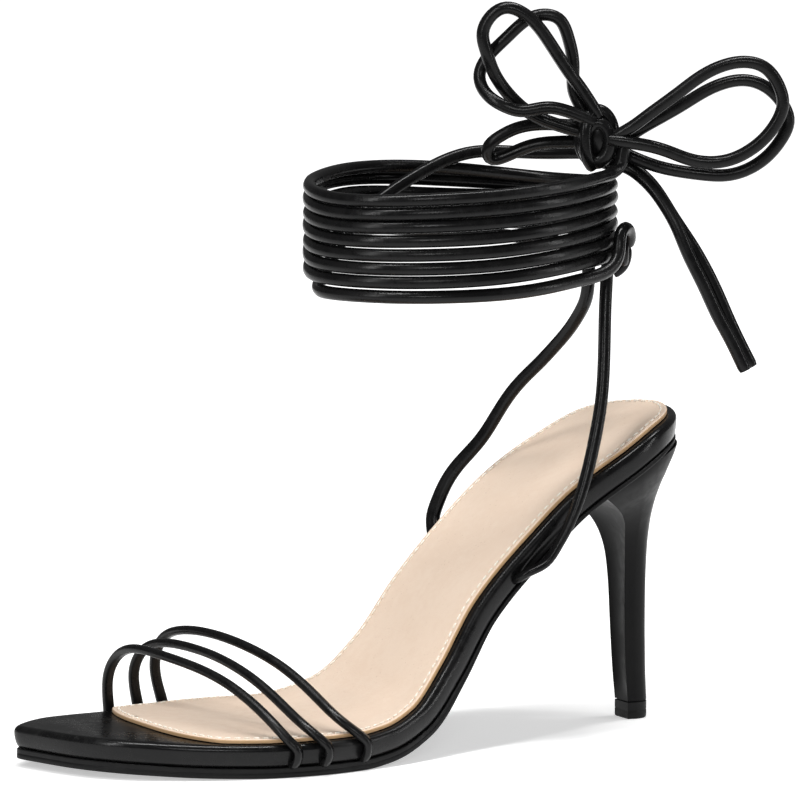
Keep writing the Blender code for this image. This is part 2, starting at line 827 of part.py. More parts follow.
def strap_end(last, along, side):
    """Points of a strap's end, down the side of the footbed and under it."""
    radius = 0.5 * STRAP_THICKNESS
    reach = FOOTBED_ROUND + radius + CLEARANCE
    under = FOOTBED_THICKNESS - radius - 0.5 * CLEARANCE
    points = []
    for degrees, ahead in ((45.0, 0.007), (85.0, 0.0)):
        turn = math.radians(degrees)
        outward = reach * math.sin(turn) - FOOTBED_ROUND
        depth = FOOTBED_ROUND - reach * math.cos(turn)
        points.append(last.edge(along - ahead, side, outward, depth))
    return points + [
        last.edge(along, side, 0.5 * radius, under - 0.5 * radius),
        last.edge(along, side, -1.6 * radius, under),
        last.edge(along, side, -STRAP_TAIL, under),
    ]


def strap_route(last, strap):
    """The middle line of a toe strap, from its medial to its lateral end."""
    arch = []
    for row in strap.arch:
        x = row.along * LENGTH - TREAD_BACK
        arch.append((x, row.across * BALL_WIDTH, last.tread_top + row.height * STRAP_CROWN))
    medial = strap_end(last, strap.medial_along, 1.0)[1:]
    lateral = strap_end(last, strap.lateral_along, -1.0)
    return smooth_route(medial[::-1] + arch + lateral, 0.0090, math.radians(42.0))


def build_straps(last, footbed, finish):
    """The three toe straps, each with its ends in slots of the footbed."""
    across = (1.0, 0.0, 0.0)
    up = (0.0, 0.0, 1.0)
    for strap in STRAPS:
        route = strap_route(last, strap)
        thicknesses = [STRAP_THICKNESS] * len(route)
        sweep(strap.name, route, thicknesses, [STRAP_WIDTH] * len(route), across, finish)
        under = FOOTBED_THICKNESS - 0.5 * (STRAP_THICKNESS + CLEARANCE)
        for along, side in ((strap.medial_along, 1.0), (strap.lateral_along, -1.0)):
            path = [
                last.edge(along, side, -STRAP_TAIL - CLEARANCE, under),
                last.edge(along, side, -1.1 * STRAP_THICKNESS, under),
                last.edge(along, side, -0.5 * STRAP_THICKNESS, under - CLEARANCE),
                last.edge(along, side, STRAP_THICKNESS, under - CLEARANCE),
            ]
            cut_slot(footbed, path, SLOT_SHARE * STRAP_WIDTH, STRAP_THICKNESS, up, finish)


def lace_foot(last, along, side):
    """The middle line of a lace's flat end, from under the footbed outwards."""
    under = FOOTBED_THICKNESS - 0.5 * (LACE_FOOT_THICKNESS + CLEARANCE)
    return [
        last.edge(along, side, -LACE_TAIL, under),
        last.edge(along + 0.002, side, -0.2 * LACE_TAIL, under),
        last.edge(along + 0.011, side, 0.0022, under - CLEARANCE),
    ]


def build_lace(name, last, footbed, along, side, rise, finish):
    """A rising lace: flatter where it leaves the sole, round higher up."""
    foot = lace_foot(last, along, side)
    route = smooth_route(foot + list(rise), 0.0085, math.radians(34.0))
    grown = smoothstep(np.linspace(0.0, 1.0, len(route)), 0.15, 0.50)
    widths = LACE_FOOT_WIDTH + (LACE_DIAMETER - LACE_FOOT_WIDTH) * grown
    thicknesses = LACE_FOOT_THICKNESS + (LACE_DIAMETER - LACE_FOOT_THICKNESS) * grown
    hint = (-0.7, 0.0, 0.7)
    sweep(name, route, widths, thicknesses, hint, finish)
    inner, middle, outer = (Vector(place) for place in foot)
    path = [inner + (inner - middle).normalized() * CLEARANCE, middle.lerp(inner, 0.4)]
    path += [middle.lerp(outer, 0.2), outer + (outer - middle)]
    cut_slot(footbed, path, SLOT_SHARE * LACE_FOOT_WIDTH, LACE_FOOT_THICKNESS, hint, finish)


def cut_pocket(last, footbed, finish):
    """The hollow in the footbed's lateral side that the lace comes out of."""
    start, end = POCKET_ALONG
    shares = np.linspace(0.0, 1.0, 9)
    route = []
    for share in shares:
        depth = FOOTBED_ROUND + 0.60 * (FOOTBED_THICKNESS - FOOTBED_ROUND)
        route.append(last.edge(start + (end - start) * share, -1.0, 0.0, depth))
    swell = np.sin(math.pi * np.clip(shares, 0.06, 0.94)) ** 0.7
    cutter = sweep(
        "pocket",
        route,
        POCKET_HEIGHT * swell,
        2.0 * POCKET_DEPTH * swell,
        (0.0, 1.0, 0.0),
        finish,
    )
    boolean(footbed, cutter, "DIFFERENCE")


def cuff_point(degrees, height, outward):
    """A point of the ankle wraps; height is in rows, outward in laces."""
    turn = math.radians(degrees)
    centre = LENGTH - TREAD_BACK - CUFF_FORWARD
    reach = outward * LACE_DIAMETER
    x = centre + (0.5 * CUFF_LENGTH + reach) * math.cos(turn)
    y = (0.5 * CUFF_WIDTH + reach) * math.sin(turn)
    return (x, y, CUFF_HEIGHT + height * ROW_PITCH)


def wrap_stagger(degrees, turn_number):
    """Offset of one turn, as they bunch in two layers on the inner side."""
    at = (degrees + 180.0) % 360.0 - 180.0
    share = smoothstep(at, -30.0, 14.0) * (1.0 - smoothstep(at, 128.0, 162.0))
    side = 1.0 if turn_number % 2 else -1.0
    return side * 0.5 * ROW_STAGGER / LACE_DIAMETER * float(share)


def wraps_route():
    """The lace round the ankle: seven turns, and its rise into the bow."""
    turns = [WRAP_START.angle]
    heights = [WRAP_START.height]
    for number, row in enumerate(WRAP_ROWS):
        for angle, height in zip(WRAP_ANGLES, row):
            turns.append(360.0 * number + angle)
            heights.append(height)
    full = 360.0 * (len(WRAP_ROWS) - 1)
    level_end = full + WRAP_END[0].angle - 8.0
    steps_per_turn = 26
    count = round((level_end - turns[0]) / 360.0 * steps_per_turn) + 1
    even = np.linspace(turns[0], level_end, count)
    route = []
    for at, height in zip(even, natural_curve(turns, heights, even)):
        route.append(cuff_point(at, height, wrap_stagger(at, int((at + 23.0) // 360.0))))
    for row in WRAP_END:
        route.append(cuff_point(full + row.angle, row.height, row.outward))
    return route


def crossing_route():
    """The lace that comes over the rim, crosses inside and is the lowest row."""
    points = [cuff_point(*row) for row in CROSSING]
    return smooth_route(points, 0.0100, math.radians(40.0))


def build_back_knot(finish):
    """The small knot behind the ankle: a ring with the lace's end through."""
    heading = math.radians(-29.0)
    outward = Vector((math.cos(heading), math.sin(heading), 0.0))
    up = Vector((0.0, 0.0, 1.0))
    side = up.cross(outward)
    gap = 0.5 * (LACE_DIAMETER + KNOT_CORD) + 2.0 * CLEARANCE
    centre = Vector(cuff_point(338.0, 2.10, 0.0)) + outward * gap
    radii = (KNOT_RADIUS, 1.12 * KNOT_RADIUS)
    knot = closed_ring("back_knot", centre, side, up, radii, KNOT_CORD, finish)
    stub = [
        centre + outward * (0.10 * KNOT_CORD) + up * (0.9 * KNOT_RADIUS),
        centre + outward * (0.30 * KNOT_CORD),
        centre + outward * (0.10 * KNOT_CORD) - up * (1.3 * KNOT_RADIUS),
        centre - outward * (0.90 * KNOT_CORD) - up * (2.2 * KNOT_RADIUS),
    ]
    route = smooth_route(stub, 0.0030, math.radians(40.0))
    boolean(knot, round_tube("knot_tail", route, KNOT_CORD, tuple(side), finish), "UNION")


def build_laces(last, footbed, finish):
    """The rising laces, the wraps round the ankle and the knot behind it."""
    cut_pocket(last, footbed, finish)
    lateral = ("lace_lateral", LACE_LATERAL_ALONG, -1.0, LACE_LATERAL_RISE)
    medial = ("lace_medial", LACE_MEDIAL_ALONG, 1.0, LACE_MEDIAL_RISE)
    for name, along, side, rise in (lateral, medial):
        build_lace(name, last, footbed, along, side, rise, finish)
    up = (0.0, 0.0, 1.0)
    round_tube("ankle_wraps", wraps_route(), LACE_DIAMETER, up, finish)
    round_tube("ankle_crossing", crossing_route(), LACE_DIAMETER, up, finish)
    build_back_knot(finish)


def heel_section(front, back, half_width, hollow):
    """One closed section of the heel: flat breast, rounded sides and back."""
    ring = []
    middle = front + (back - front) * 0.32
    arc_steps = HEEL_SIDES - 5
    square = 0.85
    for i in range(arc_steps + 1):
        turn = math.pi * (i / arc_steps - 0.5)
        place = middle + (back - middle) * abs(math.cos(turn)) ** square
        side = math.copysign(abs(math.sin(turn)) ** square, turn)
        ring.append((place[0], half_width * side, place[1]))
    corner = 0.86
    lean = (back - front) / np.linalg.norm(back - front)
    for share in (corner, 0.5, -0.5, -corner):
        place = front + lean * hollow * (1.0 - (share / corner) ** 2)
        ring.append((place[0], half_width * share, place[1]))
    return ring


def heel_frame(last):
    """Middle of the heel's tip and the heel's height up to the outsole."""
    tip = LENGTH - TREAD_BACK - HEEL_TIP_SETBACK
    run = np.array([last.run_at((tip + TREAD_BACK) / LENGTH)])
    depth = FOOTBED_THICKNESS + CLEARANCE + OUTSOLE_WAIST
    return tip, float(last.bend(run, 0.0, depth)[0][2])


def tip_section(tip, height, inset):
    """Section of the heel's tip at one height, drawn in by inset."""
    front = np.array([tip - 0.5 * HEEL_TIP_LENGTH + inset, height])
    back = np.array([tip + 0.5 * HEEL_TIP_LENGTH - inset, height])
    return heel_section(front, back, 0.5 * HEEL_TIP_WIDTH - inset, 0.0)


def loft(name, sections, finish):
    """A closed body through sections of one size."""
    size = len(sections[0])
    vertices = [p for ring in sections for p in ring]
    faces = rings_to_faces(len(sections), size)
    faces.append(tuple(range(size)))
    faces.append(tuple((len(sections) - 1) * size + k for k in range(size)))
    return add_mesh(name, vertices, faces, finish)


def build_heel(last, finish):
    """The covered heel, cut at its top to the curve of the outsole."""
    tip, height = heel_frame(last)
    sections = []
    for row in HEEL_ROWS:
        front = np.array([tip + row.front * HEEL_SEAT_LENGTH, row.front_rise * height])
        back = np.array([tip + row.back * HEEL_SEAT_LENGTH, row.back_rise * height])
        sections.append(heel_section(front, back, 0.5 * row.width * SEAT_WIDTH, BREAST_HOLLOW))
    sections.append(tip_section(tip, TOP_PIECE_HEIGHT + CLEARANCE, 0.0))
    heel = loft("heel", sections, finish)
    wide = last.outline(-0.2 * SEAT_WIDTH)
    under = FOOTBED_THICKNESS + 2.0 * CLEARANCE + outsole_thickness(last, wide)
    rims = [(wide, -4.0 * FOOTBED_THICKNESS), (wide, under)]
    boolean(heel, sole_layer("sole_block", last, rims, finish), "DIFFERENCE")


def build_top_piece(last, finish):
    """The top piece under the heel's tip."""
    tip, _ = heel_frame(last)
    sections = [
        tip_section(tip, TOP_PIECE_HEIGHT, 0.0),
        tip_section(tip, TOP_PIECE_CHAMFER, 0.0),
        tip_section(tip, 0.0, TOP_PIECE_CHAMFER),
    ]
    loft("heel_top_piece", sections, finish)


def build_bow_knot(finish):
    """The bow's knot: a core inside two rings of lace, one before the other."""
    across = Vector((math.cos(BOW_TURN), math.sin(BOW_TURN), 0.0))
    front = Vector((math.sin(BOW_TURN), -math.cos(BOW_TURN), 0.0))
    up = Vector((0.0, 0.0, 1.0))
    centre = Vector(BOW_PLACE)
    mesh = bpy.data.meshes.new("bow_knot")
    form = bmesh.new()
    bmesh.ops.create_icosphere(form, subdivisions=2, radius=0.5)
    for vertex in form.verts:
        wide = across * (vertex.co.x * BOW_CORE[0])
        deep = front * (vertex.co.y * BOW_CORE[1])
        vertex.co = centre + wide - deep + up * (vertex.co.z * BOW_CORE[2])
    form.to_mesh(mesh)
    form.free()
    mesh.shade_smooth()
    mesh.materials.append(finish)
    knot = bpy.data.objects.new("bow_knot", mesh)
    bpy.context.scene.collection.objects.link(knot)
    inner = centre + front * BOW_INNER_SHIFT - up * BOW_INNER_DROP
    rings = (
        ("outer_ring", centre + front * BOW_OUTER_SHIFT, BOW_OUTER_RING),
        ("inner_ring", inner, BOW_INNER_RING),
    )
    for name, place, radii in rings:
        ring = closed_ring(name, place, across, up, radii, BOW_RING_CORD, finish)
        boolean(knot, ring, "UNION")


def build_cord(name, points, finish):
    """A free cord: a round curve on straight steps of a smooth route."""
    curve = bpy.data.curves.new(name, "CURVE")
    curve.dimensions = "3D"
    curve.bevel_depth = 0.5 * LACE_DIAMETER
    curve.bevel_resolution = 2
    curve.use_fill_caps = True
    route = smooth_route(points, 2.2 * LACE_DIAMETER)
    line = curve.splines.new("POLY")
    line.points.add(len(route) - 1)
    for point, place in zip(line.points, route):
        point.co = (*map(float, place), 1.0)
    curve.materials.append(finish)
    made = bpy.data.objects.new(name, curve)
    bpy.context.scene.collection.objects.link(made)


def build_bow(finish):
    """The bow: its knot, its loops and its two hanging ends."""
    build_bow_knot(finish)
    for name, points in BOW_CORDS:
        build_cord(name, points, finish)


def main():
    """Builds the sandal."""
    clear_scene()
    last = Last()
    cover = material("black_cover", BLACK, 0.42, 0.15)
    tread = material("black_tread", BLACK, 0.60)
    lining = material("beige_lining", BEIGE, 0.62)
    cord = material("black_lace", BLACK, 0.36, 0.10)
    footbed = build_footbed(last, cover)
    build_outsole(last, tread)
    build_sock(last, lining)
    build_heel(last, cover)
    build_top_piece(last, tread)
    build_straps(last, footbed, cord)
    build_laces(last, footbed, cord)
    build_bow(cord)


main()
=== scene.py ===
"""Looks of a left lace up sandal on a slim heel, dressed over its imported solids.

Metres, +Z up. The toe points to -X, the heel to +X and the outer side to -Y.
The origin is on the ground, under the flat of the forefoot.
"""

import logging
import math
from dataclasses import dataclass
from enum import Enum
from typing import Callable, NamedTuple, Optional, Sequence

import bpy
import numpy as np
from mathutils import Matrix, Vector


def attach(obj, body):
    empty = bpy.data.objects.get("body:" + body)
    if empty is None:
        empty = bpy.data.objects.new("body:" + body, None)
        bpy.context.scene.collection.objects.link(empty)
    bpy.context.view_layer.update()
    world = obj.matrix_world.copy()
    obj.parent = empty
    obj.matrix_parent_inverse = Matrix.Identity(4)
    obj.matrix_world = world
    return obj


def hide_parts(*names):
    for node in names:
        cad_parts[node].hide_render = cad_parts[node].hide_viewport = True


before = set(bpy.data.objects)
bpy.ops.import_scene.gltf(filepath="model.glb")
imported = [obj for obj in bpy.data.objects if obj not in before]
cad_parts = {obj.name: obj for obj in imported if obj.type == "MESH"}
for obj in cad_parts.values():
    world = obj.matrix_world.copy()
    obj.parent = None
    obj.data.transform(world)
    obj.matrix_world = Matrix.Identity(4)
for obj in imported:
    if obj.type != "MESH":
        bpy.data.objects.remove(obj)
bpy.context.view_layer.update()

LOG = logging.getLogger("sandal")
MM = 0.001
BODY = "root"
LACE_PLACE = "lace_place"
END_GIRTH = 0.86
STITCH_STEP = 0.0002


class Slot(Enum):
    """Material slots of the record that the pieces' finishes stand for."""

    COVER = "black_cover"
    TREAD = "black_tread"
    LINING = "beige_lining"
    LACE = "black_lace"


class Side(Enum):
    """Sides of the sole, as the sign of Y."""

    LATERAL = -1.0
    MEDIAL = 1.0


def rows(kind: type, *values: tuple) -> tuple:
    """The rows of a table, each as one kind of named row."""
    return tuple(kind(*row) for row in values)


class OutlineRow(NamedTuple):
    """Half widths of the footbed, as shares of the local full width."""

    along: float
    lateral: float
    medial: float


OUTLINE = rows(
    OutlineRow,
    (0.0000, -0.151, 0.151),
    (0.0115, -0.042, 0.198),
    (0.0304, 0.098, 0.239),
    (0.0652, 0.240, 0.295),
    (0.1249, 0.364, 0.356),
    (0.2044, 0.467, 0.418),
    (0.2840, 0.529, 0.455),
    (0.3635, 0.544, 0.455),
    (0.4431, 0.509, 0.415),
    (0.5227, 0.470, 0.380),
    (0.6022, 0.462, 0.406),
    (0.6818, 0.503, 0.485),
    (0.7613, 0.503, 0.496),
    (0.8409, 0.499, 0.499),
    (0.9006, 0.467, 0.467),
    (0.9503, 0.372, 0.372),
    (0.9801, 0.244, 0.244),
    (0.9950, 0.118, 0.118),
    (1.0000, 0.000, 0.000),
)


class ProfileRow(NamedTuple):
    """Height of the footbed's top over its tread, as a share of the heel's rise."""

    along: float
    rise: float


PROFILE = rows(
    ProfileRow,
    (0.0000, 0.028),
    (0.0552, 0.025),
    (0.1149, 0.017),
    (0.1746, 0.008),
    (0.2243, 0.003),
    (0.2740, 0.000),
    (0.4033, 0.000),
    (0.4431, 0.010),
    (0.5028, 0.060),
    (0.5624, 0.197),
    (0.6221, 0.393),
    (0.7017, 0.590),
    (0.7812, 0.757),
    (0.8608, 0.872),
    (0.9304, 0.958),
    (1.0000, 1.000),
)


class HeelRow(NamedTuple):
    """A section of the heel, from its front to its back.

    front and back are shares of the seat's length behind the tip's middle,
    the rises are shares of the heel's height, and width is one of the seat's.
    """

    front: float
    front_rise: float
    back: float
    back_rise: float
    width: float


HEEL_ROWS = rows(
    HeelRow,
    (-0.760, 0.905, 0.265, 1.120, 0.965),
    (-0.600, 0.850, 0.235, 1.035, 0.900),
    (-0.430, 0.800, 0.180, 0.955, 0.740),
    (-0.310, 0.760, 0.135, 0.880, 0.570),
    (-0.235, 0.715, 0.105, 0.805, 0.430),
    (-0.195, 0.660, 0.088, 0.720, 0.320),
    (-0.170, 0.590, 0.078, 0.620, 0.250),
    (-0.155, 0.480, 0.075, 0.490, 0.208),
    (-0.145, 0.350, 0.078, 0.352, 0.188),
    (-0.125, 0.180, 0.088, 0.180, 0.172),
)


class StrapRow(NamedTuple):
    """A place on a toe strap: shares of the sole's length, its ball and the crown."""

    along: float
    across: float
    height: float


class StrapPlan(NamedTuple):
    """A toe strap: where its ends go under the footbed, and its arch between."""

    name: str
    medial_along: float
    lateral_along: float
    arch: tuple


STRAPS = (
    StrapPlan(
        "toe_strap_front",
        0.2004,
        0.2959,
        rows(
            StrapRow,
            (0.1935, 0.413, 0.38),
            (0.1955, 0.356, 0.68),
            (0.1994, 0.240, 0.84),
            (0.2154, 0.086, 0.82),
            (0.2362, -0.099, 0.73),
            (0.2531, -0.265, 0.58),
            (0.2671, -0.395, 0.375),
            (0.2770, -0.485, 0.190),
        ),
    ),
    StrapPlan(
        "toe_strap_middle",
        0.2522,
        0.3417,
        rows(
            StrapRow,
            (0.2432, 0.459, 0.38),
            (0.2472, 0.407, 0.70),
            (0.2571, 0.303, 0.84),
            (0.2740, 0.111, 0.84),
            (0.2860, -0.062, 0.76),
            (0.2999, -0.241, 0.575),
            (0.3118, -0.395, 0.33),
            (0.3188, -0.490, 0.185),
        ),
    ),
    StrapPlan(
        "toe_strap_back",
        0.2939,
        0.4053,
        rows(
            StrapRow,
            (0.2810, 0.480, 0.40),
            (0.2820, 0.432, 0.80),
            (0.2899, 0.309, 0.97),
            (0.3049, 0.161, 0.99),
            (0.3257, -0.019, 0.90),
            (0.3486, -0.210, 0.69),
            (0.3645, -0.383, 0.40),
            (0.3755, -0.480, 0.215),
        ),
    ),
)

# Middle line of each rising lace above the place where it leaves the sole
LACE_LATERAL_RISE = (
    (0.0790, -0.0312, 0.0556), (0.0828, -0.0320, 0.0606), (0.0852, -0.0322, 0.0644),
    (0.0876, -0.0322, 0.0687), (0.0902, -0.0318, 0.0738), (0.0943, -0.0304, 0.0830),
    (0.0984, -0.0284, 0.0945), (0.1016, -0.0260, 0.1046), (0.1044, -0.0225, 0.1176),
    (0.1064, -0.0195, 0.1292), (0.1078, -0.0178, 0.1375), (0.1084, -0.0172, 0.1432),
)
LACE_MEDIAL_RISE = (
    (0.0767, 0.0326, 0.0604), (0.0778, 0.0322, 0.0652), (0.0800, 0.0310, 0.0712),
    (0.0833, 0.0286, 0.0775), (0.0883, 0.0240, 0.0854), (0.0922, 0.0205, 0.0936),
    (0.0950, 0.0170, 0.1003), (0.0976, 0.0130, 0.1056), (0.1002, 0.0085, 0.1105),
    (0.1025, 0.0035, 0.1159), (0.1042, -0.0020, 0.1216), (0.1050, -0.0070, 0.1273),
    (0.1050, -0.0105, 0.1320), (0.1047, -0.0122, 0.1372), (0.1046, -0.0126, 0.1428),
)


class WrapRow(NamedTuple):
    """Heights of one turn of the lace round the ankle, in shares of the row pitch.

    The turn starts behind the ankle, runs up its inner side to the toe side,
    and comes back along its outer side.
    """

    inner_back: float
    inner: float
    inner_front: float
    front: float
    toe: float
    outer_front: float
    outer: float
    outer_back: float
    back: float


WRAP_ANGLES = (30, 80, 120, 159, 189, 235, 264, 302, 337)
WRAP_ROWS = rows(
    WrapRow,
    (2.10, 2.85, 3.28, 1.45, 1.07, 1.08, 1.25, 1.80, 2.10),
    (3.22, 3.55, 4.00, 2.46, 2.07, 2.08, 2.25, 2.80, 3.10),
    (3.90, 4.25, 4.72, 3.48, 3.07, 3.10, 3.26, 3.80, 4.10),
    (4.60, 4.95, 5.45, 4.50, 4.08, 4.14, 4.30, 4.81, 5.10),
    (5.35, 5.68, 6.20, 5.52, 5.10, 5.20, 5.38, 5.84, 6.10),
    (6.08, 6.70, 7.14, 6.52, 6.06, 6.16, 6.38, 6.82, 7.05),
    (6.82, 7.70, 8.02, 7.54, 7.08, 7.18, 7.40, 7.84, 8.05),
)


class CrossRow(NamedTuple):
    """A place on a lace at the ankle: angle, height and outward offset."""

    angle: float
    height: float
    outward: float


WRAP_START = CrossRow(-6.0, 1.20, 0.0)
WRAP_END = rows(
    CrossRow,
    (322.0, 7.96, 0.06),
    (326.5, 8.20, 0.42),
    (329.0, 8.62, 0.80),
    (329.5, 9.36, 0.97),
)
CROSSING = rows(
    CrossRow,
    (8, 8.92, 0.00),
    (17, 8.82, 0.00),
    (27, 8.72, 0.00),
    (38, 8.66, 0.00),
    (50, 8.74, -0.25),
    (62, 8.80, -0.80),
    (75, 8.35, -1.45),
    (90, 7.20, -1.58),
    (110, 5.40, -1.58),
    (130, 3.30, -1.55),
    (148, 1.40, -1.38),
    (162, 0.40, -0.90),
    (175, 0.05, -0.35),
    (189, 0.00, 0.00),
    (212, 0.00, 0.00),
    (235, 0.00, 0.00),
    (264, 0.08, 0.00),
    (285, 0.35, 0.00),
    (300, 0.60, 0.08),
    (309, 0.85, 0.62),
    (315, 1.40, 1.10),
    (319, 2.25, 1.24),
    (321, 3.30, 1.20),
    (323, 4.40, 1.18),
)

# The crossing lace rises towards the bow's knot, and curls over the small one
CROSSING_RISE = rows(
    CrossRow,
    (-15.0, 10.35, -1.20),
    (-9.0, 9.85, -0.75),
    (-2.0, 9.35, -0.25),
)
CROSSING_CURL = rows(
    CrossRow,
    (323.5, 3.78, 1.22),
    (328.0, 3.92, 1.38),
    (333.0, 3.35, 1.50),
    (336.0, 2.55, 1.42),
)

# Middle lines of the bow's free cords
LOOP_LEFT_FRONT = (
    (0.1046, -0.0151, 0.1899), (0.1028, -0.0145, 0.1928), (0.1005, -0.0135, 0.1965),
    (0.0965, -0.0125, 0.2020), (0.0910, -0.0095, 0.2115), (0.0865, -0.0070, 0.2175),
    (0.0810, -0.0040, 0.2205), (0.0770, -0.0015, 0.2185), (0.0745, 0.0000, 0.2130),
    (0.0755, -0.0005, 0.2070), (0.0785, 0.0000, 0.2005), (0.0835, 0.0000, 0.1940),
    (0.0885, -0.0020, 0.1890), (0.0935, -0.0050, 0.1860), (0.1003, -0.0097, 0.1834),
)
LOOP_LEFT_BACK = (
    (0.1028, -0.0108, 0.1898), (0.1010, -0.0088, 0.1955), (0.1010, -0.0085, 0.2030),
    (0.0995, -0.0080, 0.2110), (0.0970, -0.0070, 0.2165), (0.0930, -0.0050, 0.2180),
    (0.0885, -0.0025, 0.2165), (0.0830, 0.0005, 0.2110), (0.0780, 0.0040, 0.2045),
    (0.0760, 0.0045, 0.1990), (0.0765, 0.0005, 0.1940), (0.0795, -0.0040, 0.1910),
    (0.0845, -0.0070, 0.1895), (0.0915, -0.0105, 0.1905), (0.1015, -0.0155, 0.1872),
)
LOOP_RIGHT_FRONT = (
    (0.1109, -0.0190, 0.1822), (0.1145, -0.0222, 0.1852), (0.1182, -0.0245, 0.1885),
    (0.1256, -0.0292, 0.1951), (0.1325, -0.0332, 0.2009), (0.1408, -0.0380, 0.2044),
    (0.1480, -0.0420, 0.2029), (0.1520, -0.0440, 0.1970), (0.1530, -0.0445, 0.1910),
    (0.1500, -0.0425, 0.1835), (0.1450, -0.0395, 0.1780), (0.1385, -0.0355, 0.1745),
    (0.1305, -0.0310, 0.1745), (0.1240, -0.0275, 0.1770), (0.1180, -0.0245, 0.1790),
    (0.1100, -0.0202, 0.1804),
)
LOOP_RIGHT_BACK = (
    (0.1141, -0.0165, 0.1801), (0.1170, -0.0185, 0.1825), (0.1205, -0.0205, 0.1850),
    (0.1285, -0.0255, 0.1905), (0.1365, -0.0300, 0.1960), (0.1450, -0.0345, 0.1985),
    (0.1510, -0.0380, 0.1965), (0.1550, -0.0405, 0.1920), (0.1570, -0.0415, 0.1865),
    (0.1550, -0.0405, 0.1805), (0.1500, -0.0375, 0.1740), (0.1420, -0.0335, 0.1700),
    (0.1340, -0.0285, 0.1700), (0.1255, -0.0235, 0.1715), (0.1200, -0.0190, 0.1735),
    (0.1138, -0.0141, 0.1767),
)
LOOP_SMALL = (
    (0.1030, -0.0066, 0.1841), (0.1000, -0.0045, 0.1843), (0.0950, -0.0010, 0.1844),
    (0.0890, 0.0030, 0.1833), (0.0840, 0.0060, 0.1805), (0.0815, 0.0085, 0.1770),
    (0.0835, 0.0100, 0.1735), (0.0875, 0.0075, 0.1745), (0.0920, 0.0035, 0.1772),
    (0.0965, -0.0010, 0.1787), (0.1036, -0.0063, 0.1792),
)
END_BACK = (
    (0.1109, -0.0100, 0.1760), (0.1158, -0.0092, 0.1736), (0.1205, -0.0110, 0.1710),
    (0.1245, -0.0170, 0.1655), (0.1280, -0.0225, 0.1570), (0.1325, -0.0275, 0.1475),
    (0.1380, -0.0310, 0.1355), (0.1425, -0.0335, 0.1240), (0.1480, -0.0365, 0.1115),
)
END_FRONT = (
    (0.1118, -0.0135, 0.1727), (0.1168, -0.0147, 0.1714), (0.1213, -0.0199, 0.1665),
    (0.1238, -0.0244, 0.1610), (0.1261, -0.0280, 0.1545), (0.1285, -0.0307, 0.1465),
    (0.1324, -0.0334, 0.1370), (0.1361, -0.0354, 0.1280), (0.1393, -0.0375, 0.1210),
    (0.1435, -0.0400, 0.1110),
)


def smoothstep(value: np.ndarray, low: float, high: float) -> np.ndarray:
    """0 below low, 1 above high and smooth between."""
    share = np.clip((value - low) / (high - low), 0.0, 1.0)
    return share * share * (3.0 - 2.0 * share)


def hump(value: np.ndarray, centre: float, width: float) -> np.ndarray:
    """A smooth bump of height 1 at centre, dying away over width."""
    return np.exp(-(((value - centre) / width) ** 2))


def natural_curve(knots: Sequence[float], values: Sequence[float], where: np.ndarray) -> np.ndarray:
    """Reads a natural cubic curve.

    Args:
        knots: Rising places of the curve's points.
        values: Values at the knots.
        where: Places to read.

    Returns:
        The curve's values at where.
    """
    x = np.asarray(knots, float)
    y = np.asarray(values, float)
    h = np.diff(x)
    count = len(x)
    system = np.eye(count)
    right = np.zeros(count)
    for i in range(1, count - 1):
        system[i, i - 1 : i + 2] = h[i - 1], 2.0 * (h[i - 1] + h[i]), h[i]
        right[i] = 6.0 * ((y[i + 1] - y[i]) / h[i] - (y[i] - y[i - 1]) / h[i - 1])
    bend = np.linalg.solve(system, right)
    at = np.asarray(where, float)
    i = np.clip(np.searchsorted(x, at) - 1, 0, count - 2)
    a = x[i + 1] - at
    b = at - x[i]
    cubic = (bend[i] * a**3 + bend[i + 1] * b**3) / (6.0 * h[i])
    straight = (y[i] / h[i] - bend[i] * h[i] / 6.0) * a
    return cubic + straight + (y[i + 1] / h[i] - bend[i + 1] * h[i] / 6.0) * b


def level_curve(knots: Sequence[float], values: Sequence[float], where: np.ndarray) -> np.ndarray:
    """Reads a smooth curve that never overshoots its points.

    Args:
        knots: Rising places of the curve's points.
        values: Values at the knots.
        where: Places to read.

    Returns:
        The curve's values at where.
    """
    x = np.asarray(knots, float)
    y = np.asarray(values, float)
    h = np.diff(x)
    slope = np.diff(y) / h
    tangent = np.zeros(len(x))
    for i in range(1, len(x) - 1):
        if slope[i - 1] * slope[i] > 0.0:
            first = 2.0 * h[i] + h[i - 1]
            second = h[i] + 2.0 * h[i - 1]
            tangent[i] = (first + second) / (first / slope[i - 1] + second / slope[i])
    tangent[0] = slope[0]
    tangent[-1] = slope[-1]
    at = np.asarray(where, float)
    i = np.clip(np.searchsorted(x, at) - 1, 0, len(x) - 2)
    t = (at - x[i]) / h[i]
    start = y[i] * (1.0 + 2.0 * t) * (1.0 - t) ** 2 + tangent[i] * h[i] * t * (1.0 - t) ** 2
    return start + y[i + 1] * t * t * (3.0 - 2.0 * t) + tangent[i + 1] * h[i] * t * t * (t - 1.0)


def smooth_route(points: Sequence[Sequence[float]], spacing: float) -> np.ndarray:
    """Walks a smooth curve through given points.

    Args:
        points: The points that the curve goes through.
        spacing: Distance between the points that come back.

    Returns:
        Points along the curve, one row each.
    """
    route = np.asarray(points, float)
    steps = np.sqrt(np.linalg.norm(np.diff(route, axis=0), axis=1))
    knots = np.concatenate(([0.0], np.cumsum(steps)))
    fine = np.linspace(0.0, knots[-1], 60 * len(route))
    curve = np.stack([natural_curve(knots, route[:, k], fine) for k in range(3)], axis=1)
    return even_route(curve, spacing)


